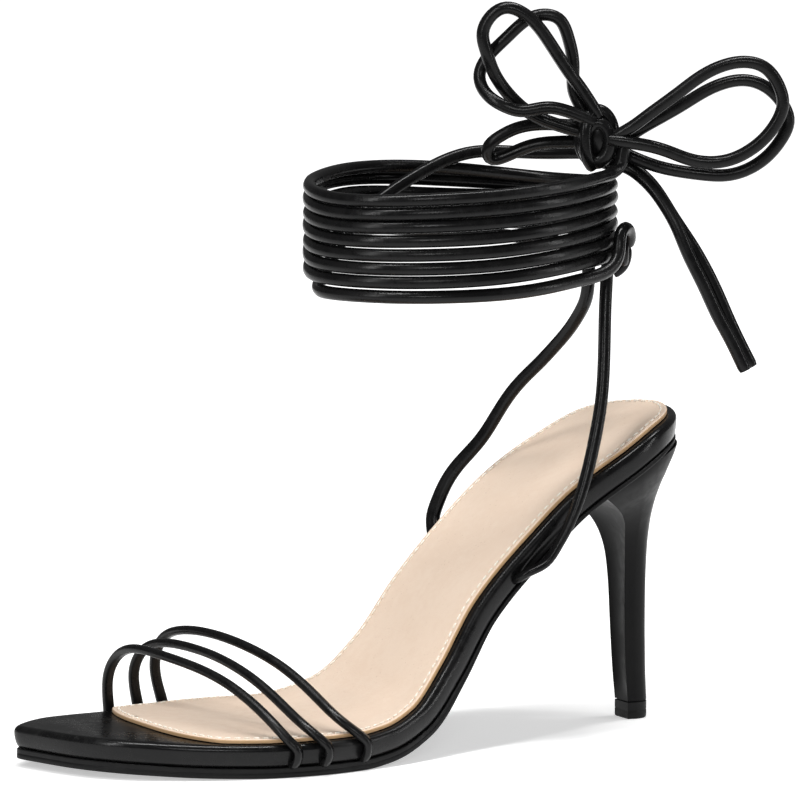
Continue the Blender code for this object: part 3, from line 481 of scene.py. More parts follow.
def even_route(curve: np.ndarray, spacing: float) -> np.ndarray:
    """Points spacing apart along a finely drawn line.

    Args:
        curve: Points of the line.
        spacing: Distance between the points that come back.

    Returns:
        Points along the line, one row each.
    """
    run = np.concatenate(([0.0], np.cumsum(np.linalg.norm(np.diff(curve, axis=0), axis=1))))
    even = np.linspace(0.0, run[-1], max(4, round(run[-1] / spacing) + 1))
    return np.stack([np.interp(even, run, curve[:, k]) for k in range(3)], axis=1)


def route_length(route: np.ndarray) -> float:
    """Length of a route of points."""
    return float(np.linalg.norm(np.diff(route, axis=0), axis=1).sum())


def deselect_all() -> None:
    """Deselects every object, because an operator acts on all that is selected."""
    bpy.ops.object.select_all(action="DESELECT")


def only(piece: bpy.types.Object) -> bpy.types.Object:
    """Makes a piece the one selected and active object.

    Args:
        piece: The piece.

    Returns:
        The piece.
    """
    deselect_all()
    piece.select_set(True)
    bpy.context.view_layer.objects.active = piece
    return piece


def named(name: str) -> bpy.types.Object:
    """Names the active object and its mesh.

    Args:
        name: The new name.

    Returns:
        The active object.
    """
    piece = bpy.context.active_object
    piece.name = name
    piece.data.name = name
    return piece


def smooth_by_angle(piece: bpy.types.Object, degrees: float) -> None:
    """Shades a piece smooth, with its edges over an angle left sharp."""
    only(piece)
    bpy.ops.object.shade_smooth_by_angle(angle=math.radians(degrees))


def apply_modifiers(piece: bpy.types.Object) -> None:
    """Applies all of a piece's modifiers in order.

    Args:
        piece: The piece.
    """
    only(piece)
    for step in list(piece.modifiers):
        bpy.ops.object.modifier_apply(modifier=step.name)


def cut_away(piece: bpy.types.Object, cutter: bpy.types.Object) -> None:
    """Cuts a closed cutter out of a piece, and removes the cutter.

    Args:
        piece: The piece that is cut.
        cutter: The closed form that is cut out of it.
    """
    step = piece.modifiers.new("cut", "BOOLEAN")
    step.operation = "DIFFERENCE"
    step.solver = "EXACT"
    step.object = cutter
    apply_modifiers(piece)
    bpy.data.objects.remove(cutter, do_unlink=True)


def finish_piece(
    piece: bpy.types.Object,
    material: bpy.types.Material,
    slot: Slot,
    nodes: Sequence[str] = (),
) -> bpy.types.Object:
    """Dresses a finished piece and ties it to the frame.

    Args:
        piece: The finished piece.
        material: Its finish.
        slot: The record's slot that the finish stands for.
        nodes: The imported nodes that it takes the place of.

    Returns:
        The piece.
    """
    piece.data.materials.clear()
    piece.data.materials.append(material)
    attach(piece, BODY)
    if nodes:
        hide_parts(*nodes)
    LOG.info("%s: %d faces, %s", piece.name, len(piece.data.polygons), slot.value)
    return piece


class NodeNet:
    """Places and joins shader nodes in one tree."""

    def __init__(self, tree: bpy.types.NodeTree) -> None:
        """Keeps the tree."""
        self.tree = tree

    def add(self, kind: str, **values: object) -> bpy.types.Node:
        """Adds a node and sets its properties and unlinked inputs.

        Args:
            kind: The node's type name.
            values: A property's value, an input's value, or a socket to link.

        Returns:
            The node.
        """
        node = self.tree.nodes.new(kind)
        for key, value in values.items():
            if hasattr(node, key) and key not in node.inputs:
                setattr(node, key, value)
                continue
            socket = node.inputs[int(key[1:])] if key[:1] == "_" else node.inputs[key.replace("_", " ")]
            self.feed(socket, value)
        return node

    def feed(self, socket: bpy.types.NodeSocket, value: object) -> None:
        """Links a socket to an input, or sets the input's value.

        Args:
            socket: The input.
            value: A socket to link, or a value.
        """
        if isinstance(value, bpy.types.NodeSocket):
            self.tree.links.new(value, socket)
        else:
            socket.default_value = value

    def math(self, operation: str, first: object, second: object = 0.0) -> bpy.types.NodeSocket:
        """One Math node's result."""
        return self.add("ShaderNodeMath", operation=operation, _0=first, _1=second).outputs[0]

    def ramp(
        self, value: object, low: float, high: float, start: float = 0.0, end: float = 1.0
    ) -> bpy.types.NodeSocket:
        """Maps low..high smoothly to start..end.

        Args:
            value: The value to map.
            low: Where the ramp starts.
            high: Where the ramp ends.
            start: Result at low.
            end: Result at high.

        Returns:
            The mapped value.
        """
        node = self.add("ShaderNodeMapRange", interpolation_type="SMOOTHSTEP")
        for name, item in zip(("Value", "From Min", "From Max", "To Min", "To Max"),
                              (value, low, high, start, end)):
            self.feed(node.inputs[name], item)
        return node.outputs["Result"]

    def scaled(self, vector: object, scale: Sequence[float]) -> bpy.types.NodeSocket:
        """A vector with each part scaled."""
        node = self.add("ShaderNodeVectorMath", operation="MULTIPLY", _0=vector, _1=tuple(scale))
        return node.outputs[0]

    def noise(
        self, vector: object, scale: float, detail: float = 3.0, roughness: float = 0.5
    ) -> bpy.types.NodeSocket:
        """Noise from 0 to 1 at a scale per metre.

        Args:
            vector: Where to read.
            scale: Scale per metre.
            detail: Number of finer layers.
            roughness: Strength of the finer layers.

        Returns:
            The noise.
        """
        node = self.add("ShaderNodeTexNoise", Vector=vector, Scale=scale, Detail=detail)
        node.inputs["Roughness"].default_value = roughness
        return node.outputs["Fac"]

    def cells(self, vector: object, scale: float, feature: str = "F1") -> bpy.types.NodeSocket:
        """Distance in a cell pattern at a scale per metre."""
        node = self.add("ShaderNodeTexVoronoi", feature=feature, Vector=vector, Scale=scale)
        return node.outputs["Distance"]

    def blend(self, factor: object, first: object, second: object) -> bpy.types.NodeSocket:
        """A mix of two colours.

        Args:
            factor: Share of the second colour.
            first: The first colour.
            second: The second colour.

        Returns:
            The mixed colour.
        """
        node = self.add("ShaderNodeMix", data_type="RGBA")
        self.feed(node.inputs[0], factor)
        self.feed(node.inputs[6], first)
        self.feed(node.inputs[7], second)
        return node.outputs[2]


def new_group(name: str, inputs: dict, outputs: dict) -> tuple:
    """Starts a shader node group.

    Args:
        name: The group's name.
        inputs: Name and socket type of each input.
        outputs: Name and socket type of each output.

    Returns:
        The group, its node net, and its input and output nodes.
    """
    group = bpy.data.node_groups.new(name, "ShaderNodeTree")
    for label, kind in inputs.items():
        group.interface.new_socket(name=label, in_out="INPUT", socket_type=kind)
    for label, kind in outputs.items():
        group.interface.new_socket(name=label, in_out="OUTPUT", socket_type=kind)
    net = NodeNet(group)
    return group, net, net.add("NodeGroupInput"), net.add("NodeGroupOutput")


def coated_grain_group() -> bpy.types.NodeTree:
    """Fine grain of coated leather: pebbles, pores and soft patches.

    Returns:
        The group, with its Height and its Patches.
    """
    group, net, given, result = new_group(
        "coated_grain",
        {"Place": "NodeSocketVector", "Pebbles": "NodeSocketFloat"},
        {"Height": "NodeSocketFloat", "Patches": "NodeSocketFloat"},
    )
    place = given.outputs["Place"]
    pebbles = given.outputs["Pebbles"]
    coarse = net.add("ShaderNodeTexVoronoi", feature="SMOOTH_F1", Vector=place)
    net.feed(coarse.inputs["Scale"], pebbles)
    fine = net.add("ShaderNodeTexNoise", Vector=place, Detail=4.0)
    net.feed(fine.inputs["Scale"], net.math("MULTIPLY", pebbles, 2.3))
    height = net.math("MULTIPLY_ADD", coarse.outputs["Distance"], 0.7)
    height.node.inputs[2].default_value = 0.0
    both = net.math("ADD", height, net.math("MULTIPLY", fine.outputs["Fac"], 0.45))
    net.feed(result.inputs["Height"], both)
    broad = net.noise(place, 55.0, 3.0)
    small = net.noise(place, 420.0, 2.0)
    mixed = net.math("ADD", net.math("MULTIPLY", broad, 0.65), net.math("MULTIPLY", small, 0.35))
    net.feed(result.inputs["Patches"], net.ramp(mixed, 0.36, 0.64))
    return group


def handling_group() -> bpy.types.NodeTree:
    """Marks of handling: thin scuffs that run one way, and light dust.

    Returns:
        The group, with its Scuffs and its Dust.
    """
    group, net, given, result = new_group(
        "handling",
        {"Place": "NodeSocketVector"},
        {"Scuffs": "NodeSocketFloat", "Dust": "NodeSocketFloat"},
    )
    place = given.outputs["Place"]
    streaks = net.noise(net.scaled(place, (60.0, 900.0, 900.0)), 1.0, 4.0)
    gate = net.ramp(net.noise(place, 38.0, 2.0), 0.52, 0.66)
    scuffs = net.math("MULTIPLY", net.ramp(streaks, 0.58, 0.70), gate)
    net.feed(result.inputs["Scuffs"], scuffs)
    specks = net.cells(place, 900.0)
    dust = net.math("MULTIPLY", net.ramp(specks, 0.16, 0.05), net.ramp(net.noise(place, 70.0), 0.5, 0.7))
    net.feed(result.inputs["Dust"], dust)
    return group


@dataclass(frozen=True)
class Shared:
    """Node groups that several finishes use."""

    grain: bpy.types.NodeTree
    handling: bpy.types.NodeTree

    @classmethod
    def build(cls) -> "Shared":
        """Builds each group once."""
        return cls(coated_grain_group(), handling_group())


def start_material(name: str) -> tuple:
    """An empty material.

    Args:
        name: The material's name.

    Returns:
        The material, its node net and its Principled shader.
    """
    made = bpy.data.materials.new(name)
    made.use_nodes = True
    net = NodeNet(made.node_tree)
    return made, net, made.node_tree.nodes["Principled BSDF"]


def place_socket(net: NodeNet, attribute: Optional[str]) -> bpy.types.NodeSocket:
    """Object coordinates, or the named attribute that follows a lace.

    Args:
        net: The material's node net.
        attribute: The attribute's name, or None.

    Returns:
        The vector that patterns are placed by.
    """
    if attribute is None:
        return net.add("ShaderNodeTexCoord").outputs["Object"]
    return net.add("ShaderNodeAttribute", attribute_name=attribute).outputs["Vector"]


@dataclass(frozen=True)
class CoatedLeather:
    """Smooth coated leather, with grain, patches of gloss and light scuffs."""

    name: str
    colour: tuple = (0.0035, 0.0035, 0.0037)
    lifted: tuple = (0.0062, 0.0061, 0.0063)
    scuffed: tuple = (0.026, 0.0255, 0.025)
    roughness: float = 0.34
    spread: float = 0.07
    pebbles: float = 2600.0
    grain_depth: float = 0.03
    coat: float = 0.03
    specular: float = 0.16
    attribute: Optional[str] = None
    crosswise: float = 0.0

    def build(self, shared: Shared) -> bpy.types.Material:
        """Builds the material.

        Args:
            shared: The shared node groups.

        Returns:
            The material.
        """
        made, net, shader = start_material(self.name)
        place = place_socket(net, self.attribute)
        grain = net.add("ShaderNodeGroup", node_tree=shared.grain, Place=place, Pebbles=self.pebbles)
        marks = net.add("ShaderNodeGroup", node_tree=shared.handling, Place=place)
        base = net.blend(grain.outputs["Patches"], (*self.colour, 1.0), (*self.lifted, 1.0))
        worn = net.math("MULTIPLY", marks.outputs["Scuffs"], 0.25)
        base = net.blend(worn, base, (*self.scuffed, 1.0))
        dusty = net.math("MULTIPLY", marks.outputs["Dust"], 0.04)
        net.feed(shader.inputs["Base Color"], net.blend(dusty, base, (0.05, 0.05, 0.05, 1.0)))
        gloss = net.ramp(grain.outputs["Patches"], 0.0, 1.0, self.roughness - self.spread,
                         self.roughness + self.spread)
        gloss = net.math("ADD", gloss, net.math("MULTIPLY", marks.outputs["Scuffs"], 0.12))
        net.feed(shader.inputs["Roughness"], gloss)
        height = grain.outputs["Height"]
        if self.crosswise > 0.0:
            ribs = net.noise(net.scaled(place, (1900.0, 260.0, 260.0)), 1.0, 3.0)
            height = net.math("ADD", height, net.math("MULTIPLY", ribs, self.crosswise))
        bump = net.add("ShaderNodeBump", Strength=0.55, Distance=self.grain_depth * MM, Height=height)
        net.feed(shader.inputs["Normal"], bump.outputs["Normal"])
        shader.inputs["Specular IOR Level"].default_value = self.specular
        shader.inputs["Coat Weight"].default_value = self.coat
        shader.inputs["Coat Roughness"].default_value = 0.18
        return made


@dataclass(frozen=True)
class SatinRubber:
    """Black satin rubber of the outsole and the heel's top piece."""

    name: str
    colour: tuple = (0.0060, 0.0060, 0.0062)
    dusty: tuple = (0.020, 0.0195, 0.0185)
    roughness: float = 0.46

    def build(self, shared: Shared) -> bpy.types.Material:
        """Builds the material from the shared groups.

        Args:
            shared: The shared node groups.

        Returns:
            The material.
        """
        made, net, shader = start_material(self.name)
        place = place_socket(net, None)
        grain = net.add("ShaderNodeGroup", node_tree=shared.grain, Place=place, Pebbles=1500.0)
        marks = net.add("ShaderNodeGroup", node_tree=shared.handling, Place=place)
        base = net.blend(marks.outputs["Dust"], (*self.colour, 1.0), (*self.dusty, 1.0))
        base = net.blend(net.math("MULTIPLY", marks.outputs["Scuffs"], 0.5), base, (*self.dusty, 1.0))
        net.feed(shader.inputs["Base Color"], base)
        low, high = self.roughness - 0.06, self.roughness + 0.10
        net.feed(shader.inputs["Roughness"], net.ramp(grain.outputs["Patches"], 0.0, 1.0, low, high))
        bump = net.add("ShaderNodeBump", Strength=0.5, Distance=0.06 * MM, Height=grain.outputs["Height"])
        net.feed(shader.inputs["Normal"], bump.outputs["Normal"])
        shader.inputs["Specular IOR Level"].default_value = 0.14
        return made


@dataclass(frozen=True)
class PoredLining:
    """Matt beige lining with fine pores, faint mottling and soft nap."""

    name: str
    colour: tuple = (0.800, 0.645, 0.515)
    warm: tuple = (0.740, 0.570, 0.440)
    pore: tuple = (0.520, 0.370, 0.265)
    edge: tuple = (0.520, 0.330, 0.170)
    roughness: float = 0.60

    def build(self, shared: Shared) -> bpy.types.Material:
        """Builds the material from the shared groups.

        Args:
            shared: The shared node groups.

        Returns:
            The material.
        """
        made, net, shader = start_material(self.name)
        place = place_socket(net, None)
        grain = net.add("ShaderNodeGroup", node_tree=shared.grain, Place=place, Pebbles=1700.0)
        base = net.blend(net.math("MULTIPLY", grain.outputs["Patches"], 0.45),
                         (*self.colour, 1.0), (*self.warm, 1.0))
        pores = net.ramp(net.cells(place, 780.0), 0.20, 0.07)
        few = net.ramp(net.noise(place, 160.0, 2.0), 0.47, 0.62)
        pores = net.math("MULTIPLY", pores, few)
        base = net.blend(net.math("MULTIPLY", pores, 0.55), base, (*self.pore, 1.0))
        rim = net.add("ShaderNodeAttribute", attribute_name="rim_share")
        raw = net.ramp(rim.outputs["Fac"], 0.62, 0.72)
        net.feed(shader.inputs["Base Color"], net.blend(raw, base, (*self.edge, 1.0)))
        net.feed(shader.inputs["Roughness"], net.ramp(grain.outputs["Patches"], 0.0, 1.0,
                                                      self.roughness - 0.08, self.roughness + 0.08))
        height = net.math("SUBTRACT", grain.outputs["Height"], net.math("MULTIPLY", pores, 0.9))
        bump = net.add("ShaderNodeBump", Strength=0.6, Distance=0.09 * MM, Height=height)
        net.feed(shader.inputs["Normal"], bump.outputs["Normal"])
        shader.inputs["Specular IOR Level"].default_value = 0.35
        shader.inputs["Sheen Weight"].default_value = 0.08
        return made


@dataclass(frozen=True)
class TwistedThread:
    """Cream sewing thread with the fine slant of its twist."""

    name: str
    colour: tuple = (0.98, 0.95, 0.88)
    shaded: tuple = (0.86, 0.78, 0.66)
    roughness: float = 0.62

    def build(self) -> bpy.types.Material:
        """Builds the material.

        Returns:
            The material.
        """
        made, net, shader = start_material(self.name)
        place = place_socket(net, None)
        twist = net.noise(net.scaled(place, (2600.0, 2600.0, 900.0)), 1.0, 2.0)
        mask = net.ramp(twist, 0.40, 0.62)
        net.feed(shader.inputs["Base Color"], net.blend(mask, (*self.shaded, 1.0), (*self.colour, 1.0)))
        net.feed(shader.inputs["Roughness"], net.ramp(mask, 0.0, 1.0, self.roughness, self.roughness + 0.15))
        bump = net.add("ShaderNodeBump", Strength=0.6, Distance=0.05 * MM, Height=twist)
        net.feed(shader.inputs["Normal"], bump.outputs["Normal"])
        return made


@dataclass(frozen=True)
class Finishes:
    """All the finishes of the sandal."""

    cover: bpy.types.Material
    heel_cover: bpy.types.Material
    lace: bpy.types.Material
    strap: bpy.types.Material
    tread: bpy.types.Material
    lining: bpy.types.Material
    thread: bpy.types.Material

    @classmethod
    def build(cls) -> "Finishes":
        """Builds each finish once.

        Returns:
            The finishes.
        """
        shared = Shared.build()
        return cls(
            cover=CoatedLeather("cover_leather", roughness=0.28, coat=0.08, grain_depth=0.018).build(shared),
            heel_cover=CoatedLeather("heel_leather", roughness=0.40, coat=0.0, specular=0.09,
                                     grain_depth=0.02).build(shared),
            lace=CoatedLeather("lace_leather", roughness=0.25, spread=0.05, attribute=LACE_PLACE,
                               crosswise=0.9, grain_depth=0.04).build(shared),
            strap=CoatedLeather("strap_leather", roughness=0.30, specular=0.20, attribute=LACE_PLACE,
                                crosswise=0.5).build(shared),
            tread=SatinRubber("tread_rubber").build(shared),
            lining=PoredLining("lining_leather").build(shared),
            thread=TwistedThread("cream_thread").build(),
        )


@dataclass(frozen=True)
class SoleSizes:
    """Sizes of the sole's layers, in metres."""

    length: float = 0.2172
    tread_back: float = 0.0772
    ball_width: float = 0.0810
    seat_width: float = 0.0550
    heel_rise: float = 0.0865
    clearance: float = 0.0003
    footbed: float = 0.0066
    footbed_round: float = 0.0020
    footbed_tuck: float = 0.0013
    heel_tuck: float = 0.0005
    heel_squaring: float = 0.24
    outsole_tread: float = 0.0032
    outsole_waist: float = 0.0013
    outsole_inset: float = 0.0009
    outsole_chamfer: float = 0.0009
    sock: float = 0.0012
    sock_inset: float = 0.0030
    sock_toe_back: float = 0.0365
    sock_toe_curve: float = 0.000185
    stations: int = 150
    bend_share: float = 0.36


class Last:
    """The sole's form: a side profile that carries a flat pattern."""

    def __init__(self, sizes: SoleSizes) -> None:
        """Draws the profile.

        Args:
            sizes: The sole's sizes.
        """
        self.sizes = sizes
        along = np.linspace(0.0, 1.0, 1201)
        rise = level_curve([r.along for r in PROFILE], [r.rise for r in PROFILE], along)
        self.tread_top = sizes.outsole_tread + sizes.clearance + sizes.footbed
        self.x = along * sizes.length - sizes.tread_back
        self.z = self.tread_top + rise * sizes.heel_rise
        step = np.hypot(np.diff(self.x), np.diff(self.z))
        self.run = np.concatenate(([0.0], np.cumsum(step)))
        slope = np.gradient(self.z, self.x)
        window = 25
        padded = np.pad(slope, window // 2, mode="edge")
        slope = np.convolve(padded, np.ones(window) / window, mode="valid")
        self.tangent = np.stack([np.ones_like(slope), slope], axis=1)
        self.tangent /= np.linalg.norm(self.tangent, axis=1)[:, None]
        bend = np.abs(np.gradient(np.arctan(slope)))
        turn = np.arccos(1.0 - 2.0 * along) / math.pi
        measure = (1.0 - sizes.bend_share) * turn + sizes.bend_share * np.cumsum(bend) / bend.sum()
        measure = (measure - measure[0]) / (measure[-1] - measure[0])
        self.stations = np.interp(np.linspace(0.0, 1.0, sizes.stations + 1), measure, along)

    def length(self) -> float:
        """Length of the flat pattern."""
        return float(self.run[-1])

    def run_at(self, along: float) -> float:
        """Distance on the flat pattern of a level share of the length."""
        return float(np.interp(along * self.sizes.length - self.sizes.tread_back, self.x, self.run))

    def bend(self, run: np.ndarray, across: np.ndarray, depth: np.ndarray) -> np.ndarray:
        """Places points of the flat pattern in space.

        Args:
            run: Distances from the toe on the flat pattern.
            across: Distances to the inner side.
            depth: Distances below the footbed's top.

        Returns:
            The points, one row each.
        """
        squaring = self.sizes.heel_squaring * smoothstep(run, 0.88 * self.length(), self.length())
        run = run - depth * squaring
        inside = np.clip(run, 0.0, self.length())
        over = run - inside
        tx = np.interp(inside, self.run, self.tangent[:, 0])
        tz = np.interp(inside, self.run, self.tangent[:, 1])
        x = np.interp(inside, self.run, self.x) + tx * over + tz * depth
        z = np.interp(inside, self.run, self.z) + tz * over - tx * depth
        return np.stack([x, np.broadcast_to(across, x.shape), z], axis=-1)

    def half_widths(self, along: np.ndarray) -> tuple:
        """Outer and inner half widths at level shares of the length.

        Args:
            along: Level shares of the length.

        Returns:
            The outer and the inner half widths.
        """
        sizes = self.sizes
        table = [math.acos(1.0 - 2.0 * row.along) for row in OUTLINE]
        turn = np.arccos(1.0 - 2.0 * np.clip(along, 0.0, 1.0))
        seat = smoothstep(along, 0.453, 0.702)
        width = sizes.ball_width + (sizes.seat_width - sizes.ball_width) * seat
        lateral = natural_curve(table, [row.lateral for row in OUTLINE], turn)
        medial = natural_curve(table, [row.medial for row in OUTLINE], turn)
        return lateral * width, medial * width

    def outline(self, inset: object = 0.0) -> np.ndarray:
        """Closed outline on the flat pattern.

        Args:
            inset: How far the outline is moved inwards, one value or one a point.

        Returns:
            Distances from the toe and across, one row a point.
        """
        lateral, medial = self.half_widths(self.stations)
        run = np.interp(self.stations * self.sizes.length - self.sizes.tread_back, self.x, self.run)
        outer = np.stack([run, -lateral], axis=1)
        inner = np.stack([run, medial], axis=1)
        ring = np.concatenate([outer, inner[-2:0:-1]])
        along_edge = np.roll(ring, -2, axis=0) - np.roll(ring, 2, axis=0)
        along_edge /= np.linalg.norm(along_edge, axis=1)[:, None]
        inward = np.stack([-along_edge[:, 1], along_edge[:, 0]], axis=1)
        return ring + inward * np.broadcast_to(inset, len(ring))[:, None]

    def sock_outline(self, inset: float) -> np.ndarray:
        """Outline of the insole sock: the footbed's, cut by an arc at the toe.

        Args:
            inset: Distance inside the lining's edge.

        Returns:
            Distances from the toe and across, one row a point.
        """
        ring = self.outline(self.sizes.sock_inset + inset)
        lift = np.abs(ring[:, 1] / MM) ** 3 * self.sizes.sock_toe_curve * MM
        arc = self.sizes.sock_toe_back + inset + lift
        soft = 2.0 * MM
        gap = ring[:, 0] - arc
        ring[:, 0] = arc + 0.5 * (gap + np.sqrt(gap * gap + soft * soft))
        return ring

    def heelwards(self, toe_value: float, heel_value: float) -> np.ndarray:
        """A value at each point of the outline, from the forefoot's to the seat's."""
        run = self.outline()[:, 0] / self.length()
        return toe_value + (heel_value - toe_value) * smoothstep(run, 0.45, 0.85)

    def outsole_depth(self, ring: np.ndarray) -> np.ndarray:
        """Thickness of the outsole under each point of a ring.

        Args:
            ring: Places on the flat pattern.

        Returns:
            The thickness at each place.
        """
        sizes = self.sizes
        thin = smoothstep(ring[:, 0], self.run_at(0.423), self.run_at(0.622))
        return sizes.outsole_tread + (sizes.outsole_waist - sizes.outsole_tread) * thin

    def edge(self, along: float, side: float, outward: float, depth: float) -> tuple:
        """A point beside the footbed's edge, outward from it and below its top.

        Args:
            along: Level share of the sole's length.
            side: -1 for the outer side, 1 for the inner.
            outward: Distance out from the edge.
            depth: Distance below the top.

        Returns:
            The point.
        """
        lateral, medial = self.half_widths(np.array([along]))
        half = float(lateral[0] if side < 0 else medial[0])
        run = np.array([self.run_at(along)])
        return tuple(self.bend(run, np.array([side * (half + outward)]), np.array([depth]))[0])


def grid_shares(piece: bpy.types.Object) -> np.ndarray:
    """Coordinates of a piece's vertices, one row each.

    Args:
        piece: The piece.

    Returns:
        The coordinates.
    """
    flat = np.empty(len(piece.data.vertices) * 3)
    piece.data.vertices.foreach_get("co", flat)
    return flat.reshape(-1, 3)


def place_vertices(piece: bpy.types.Object, places: np.ndarray) -> None:
    """Moves a piece's vertices to their places and turns its faces outwards.

    Args:
        piece: The piece.
        places: The new places, one row a vertex.
    """
    piece.data.vertices.foreach_set("co", places.astype(np.float32).ravel())
    piece.data.update()
    only(piece)
    bpy.ops.object.mode_set(mode="EDIT")
    bpy.ops.mesh.select_all(action="SELECT")
    bpy.ops.mesh.normals_make_consistent(inside=False)
    bpy.ops.object.mode_set(mode="OBJECT")


def extrude_levels(count: int) -> None:
    """Extrudes the active flat piece down by one unit, count times.

    Args:
        count: How many times.
    """
    bpy.ops.object.mode_set(mode="EDIT")
    bpy.ops.mesh.select_all(action="SELECT")
    for _ in range(count):
        bpy.ops.mesh.extrude_region_move(TRANSFORM_OT_translate={"value": (0.0, 0.0, -1.0)})
    bpy.ops.object.mode_set(mode="OBJECT")


def over_ring(edge: np.ndarray, i: np.ndarray, j: np.ndarray, long: int, wide: int) -> np.ndarray:
    """Spreads values given round a ring over the grid inside it.

    Args:
        edge: Values at each point of the ring, one row each.
        i: Steps from the toe.
        j: Steps from the outer side.
        long: Number of steps from toe to heel.
        wide: Number of steps across.

    Returns:
        The values at each i and j.
    """
    size = len(edge)
    mid = wide // 2
    u = (i / long)[:, None]
    v = (j / wide)[:, None]
    sides = (1.0 - v) * edge[mid + i] + v * edge[(size - mid - i) % size]
    ends = (1.0 - u) * edge[(mid - j) % size] + u * edge[size // 2 - mid + j]
    first = (1.0 - v) * edge[mid] + v * edge[size - mid]
    second = (1.0 - v) * edge[mid + long] + v * edge[size - mid - long]
    return sides + ends - (1.0 - u) * first - u * second


def sole_layer(
    name: str,
    last: Last,
    rims: Sequence[tuple],
    relief: Optional[Callable[[np.ndarray, np.ndarray], np.ndarray]] = None,
) -> bpy.types.Object:
    """Models a layer of the sole from a grid, extruded down through its rims.

    Args:
        name: The piece's name.
        last: The sole's form.
        rims: Outline ring and depth of each level, from top to bottom.
        relief: Height to add on the top at a run and across.

    Returns:
        The piece, with the attribute rim_share going from 0 on top to 1.
    """
    wide = 14
    long = len(rims[0][0]) // 2 - wide
    deselect_all()
    bpy.ops.mesh.primitive_grid_add(x_subdivisions=long, y_subdivisions=wide, size=1.0)
    piece = named(name)
    extrude_levels(len(rims) - 1)
    flat = grid_shares(piece)
    i = np.rint((flat[:, 0] + 0.5) * long).astype(int)
    j = np.rint((flat[:, 1] + 0.5) * wide).astype(int)
    level = np.rint(-flat[:, 2]).astype(int)
    pattern = np.empty_like(flat)
    for number, (ring, depth) in enumerate(rims):
        here = level == number
        edge = np.column_stack([ring, np.broadcast_to(depth, len(ring))])
        pattern[here] = over_ring(edge, i[here], j[here], long, wide)
    if relief is not None:
        top = level == 0
        pattern[top, 2] -= relief(pattern[top, 0], pattern[top, 1])
    place_vertices(piece, last.bend(pattern[:, 0], pattern[:, 1], pattern[:, 2]))
    share = piece.data.attributes.new("rim_share", "FLOAT", "POINT")
    share.data.foreach_set("value", (level / (len(rims) - 1)).astype(np.float32))
    return piece


def stacked_rings(name: str, rings: Sequence[np.ndarray]) -> bpy.types.Object:
    """Models a closed body from a disc, extruded through rings of one size.

    Args:
        name: The piece's name.
        rings: Points of each ring, from top to bottom; their number divides by 4.

    Returns:
        The piece.
    """
    sides = len(rings[0])
    deselect_all()
    bpy.ops.mesh.primitive_circle_add(vertices=sides, radius=1.0, fill_type="NGON")
    piece = named(name)
    extrude_levels(len(rings) - 1)
    flat = grid_shares(piece)
    turn = np.rint(np.arctan2(flat[:, 1], flat[:, 0]) / math.tau * sides).astype(int) % sides
    level = np.rint(-flat[:, 2]).astype(int)
    place_vertices(piece, np.asarray(rings)[level, turn])
    return piece


class Groove(NamedTuple):
    """A groove along a lace: its turn round the section, depth and half width."""

    degrees: float
    depth: float
    spread: float


@dataclass(frozen=True)
class Section:
    """Cross-section of a lace or strap."""

    sides: int = 20
    squareness: float = 0.05
    grooves: tuple = (Groove(200.0, 0.00016, 16.0),)

    def spokes(self) -> tuple:
        """Turns of the section's points, their reach and how deep the grooves go.

        Returns:
            The turns, the reach and the depth of the grooves.
        """
        turn = math.tau * (np.arange(self.sides) + 0.5) / self.sides
        reach = 1.0 + self.squareness * np.sin(2.0 * turn) ** 2
        sunk = np.zeros(self.sides)
        for groove in self.grooves:
            apart = (np.degrees(turn) - groove.degrees + 180.0) % 360.0 - 180.0
            sunk += groove.depth * hump(apart, 0.0, groove.spread)
        return turn, reach, sunk


def tube_frames(route: np.ndarray, hint: Sequence[float]) -> tuple:
    """Directions square to a route, carried along it without twist.

    Args:
        route: Points of the route.
        hint: Direction that the section's thickness starts from.

    Returns:
        The wide and the flat direction at each point.
    """
    ahead = np.gradient(route, axis=0)
    ahead /= np.linalg.norm(ahead, axis=1)[:, None]
    flat = np.asarray(hint, float)
    flats = np.empty_like(route)
    for i, way in enumerate(ahead):
        flat = flat - way * flat.dot(way)
        flat /= np.linalg.norm(flat)
        flats[i] = flat
    return np.cross(ahead, flats), flats


def add_mesh(name: str, places: np.ndarray, faces: list) -> bpy.types.Object:
    """A smooth mesh object from vertices and faces.

    Args:
        name: The piece's name.
        places: Its vertices, one row each.
        faces: Vertex numbers of each face.

    Returns:
        The piece.
    """
    mesh = bpy.data.meshes.new(name)
    mesh.from_pydata(places.tolist(), [], faces)
    mesh.shade_smooth()
    piece = bpy.data.objects.new(name, mesh)
    bpy.context.scene.collection.objects.link(piece)
    return piece


def mark_places(piece: bpy.types.Object, values: np.ndarray) -> None:
    """Writes the attribute that a lace's finish follows."""
    store = piece.data.attributes.new(LACE_PLACE, "FLOAT_VECTOR", "POINT")
    store.data.foreach_set("vector", values.astype(np.float32).ravel())


def ring_faces(rings: int, sides: int, closed: bool = False) -> list:
    """Quads between rings of one size, joined end to end if closed.

    Args:
        rings: Number of rings.
        sides: Points in each ring.
        closed: Whether the last ring joins the first.

    Returns:
        Vertex numbers of each quad.
    """
    faces = []
    for ring in range(rings if closed else rings - 1):
        low = ring * sides
        high = (ring + 1) % rings * sides
        for k in range(sides):
            after = (k + 1) % sides
            faces.append((low + k, low + after, high + after, high + k))
    return faces


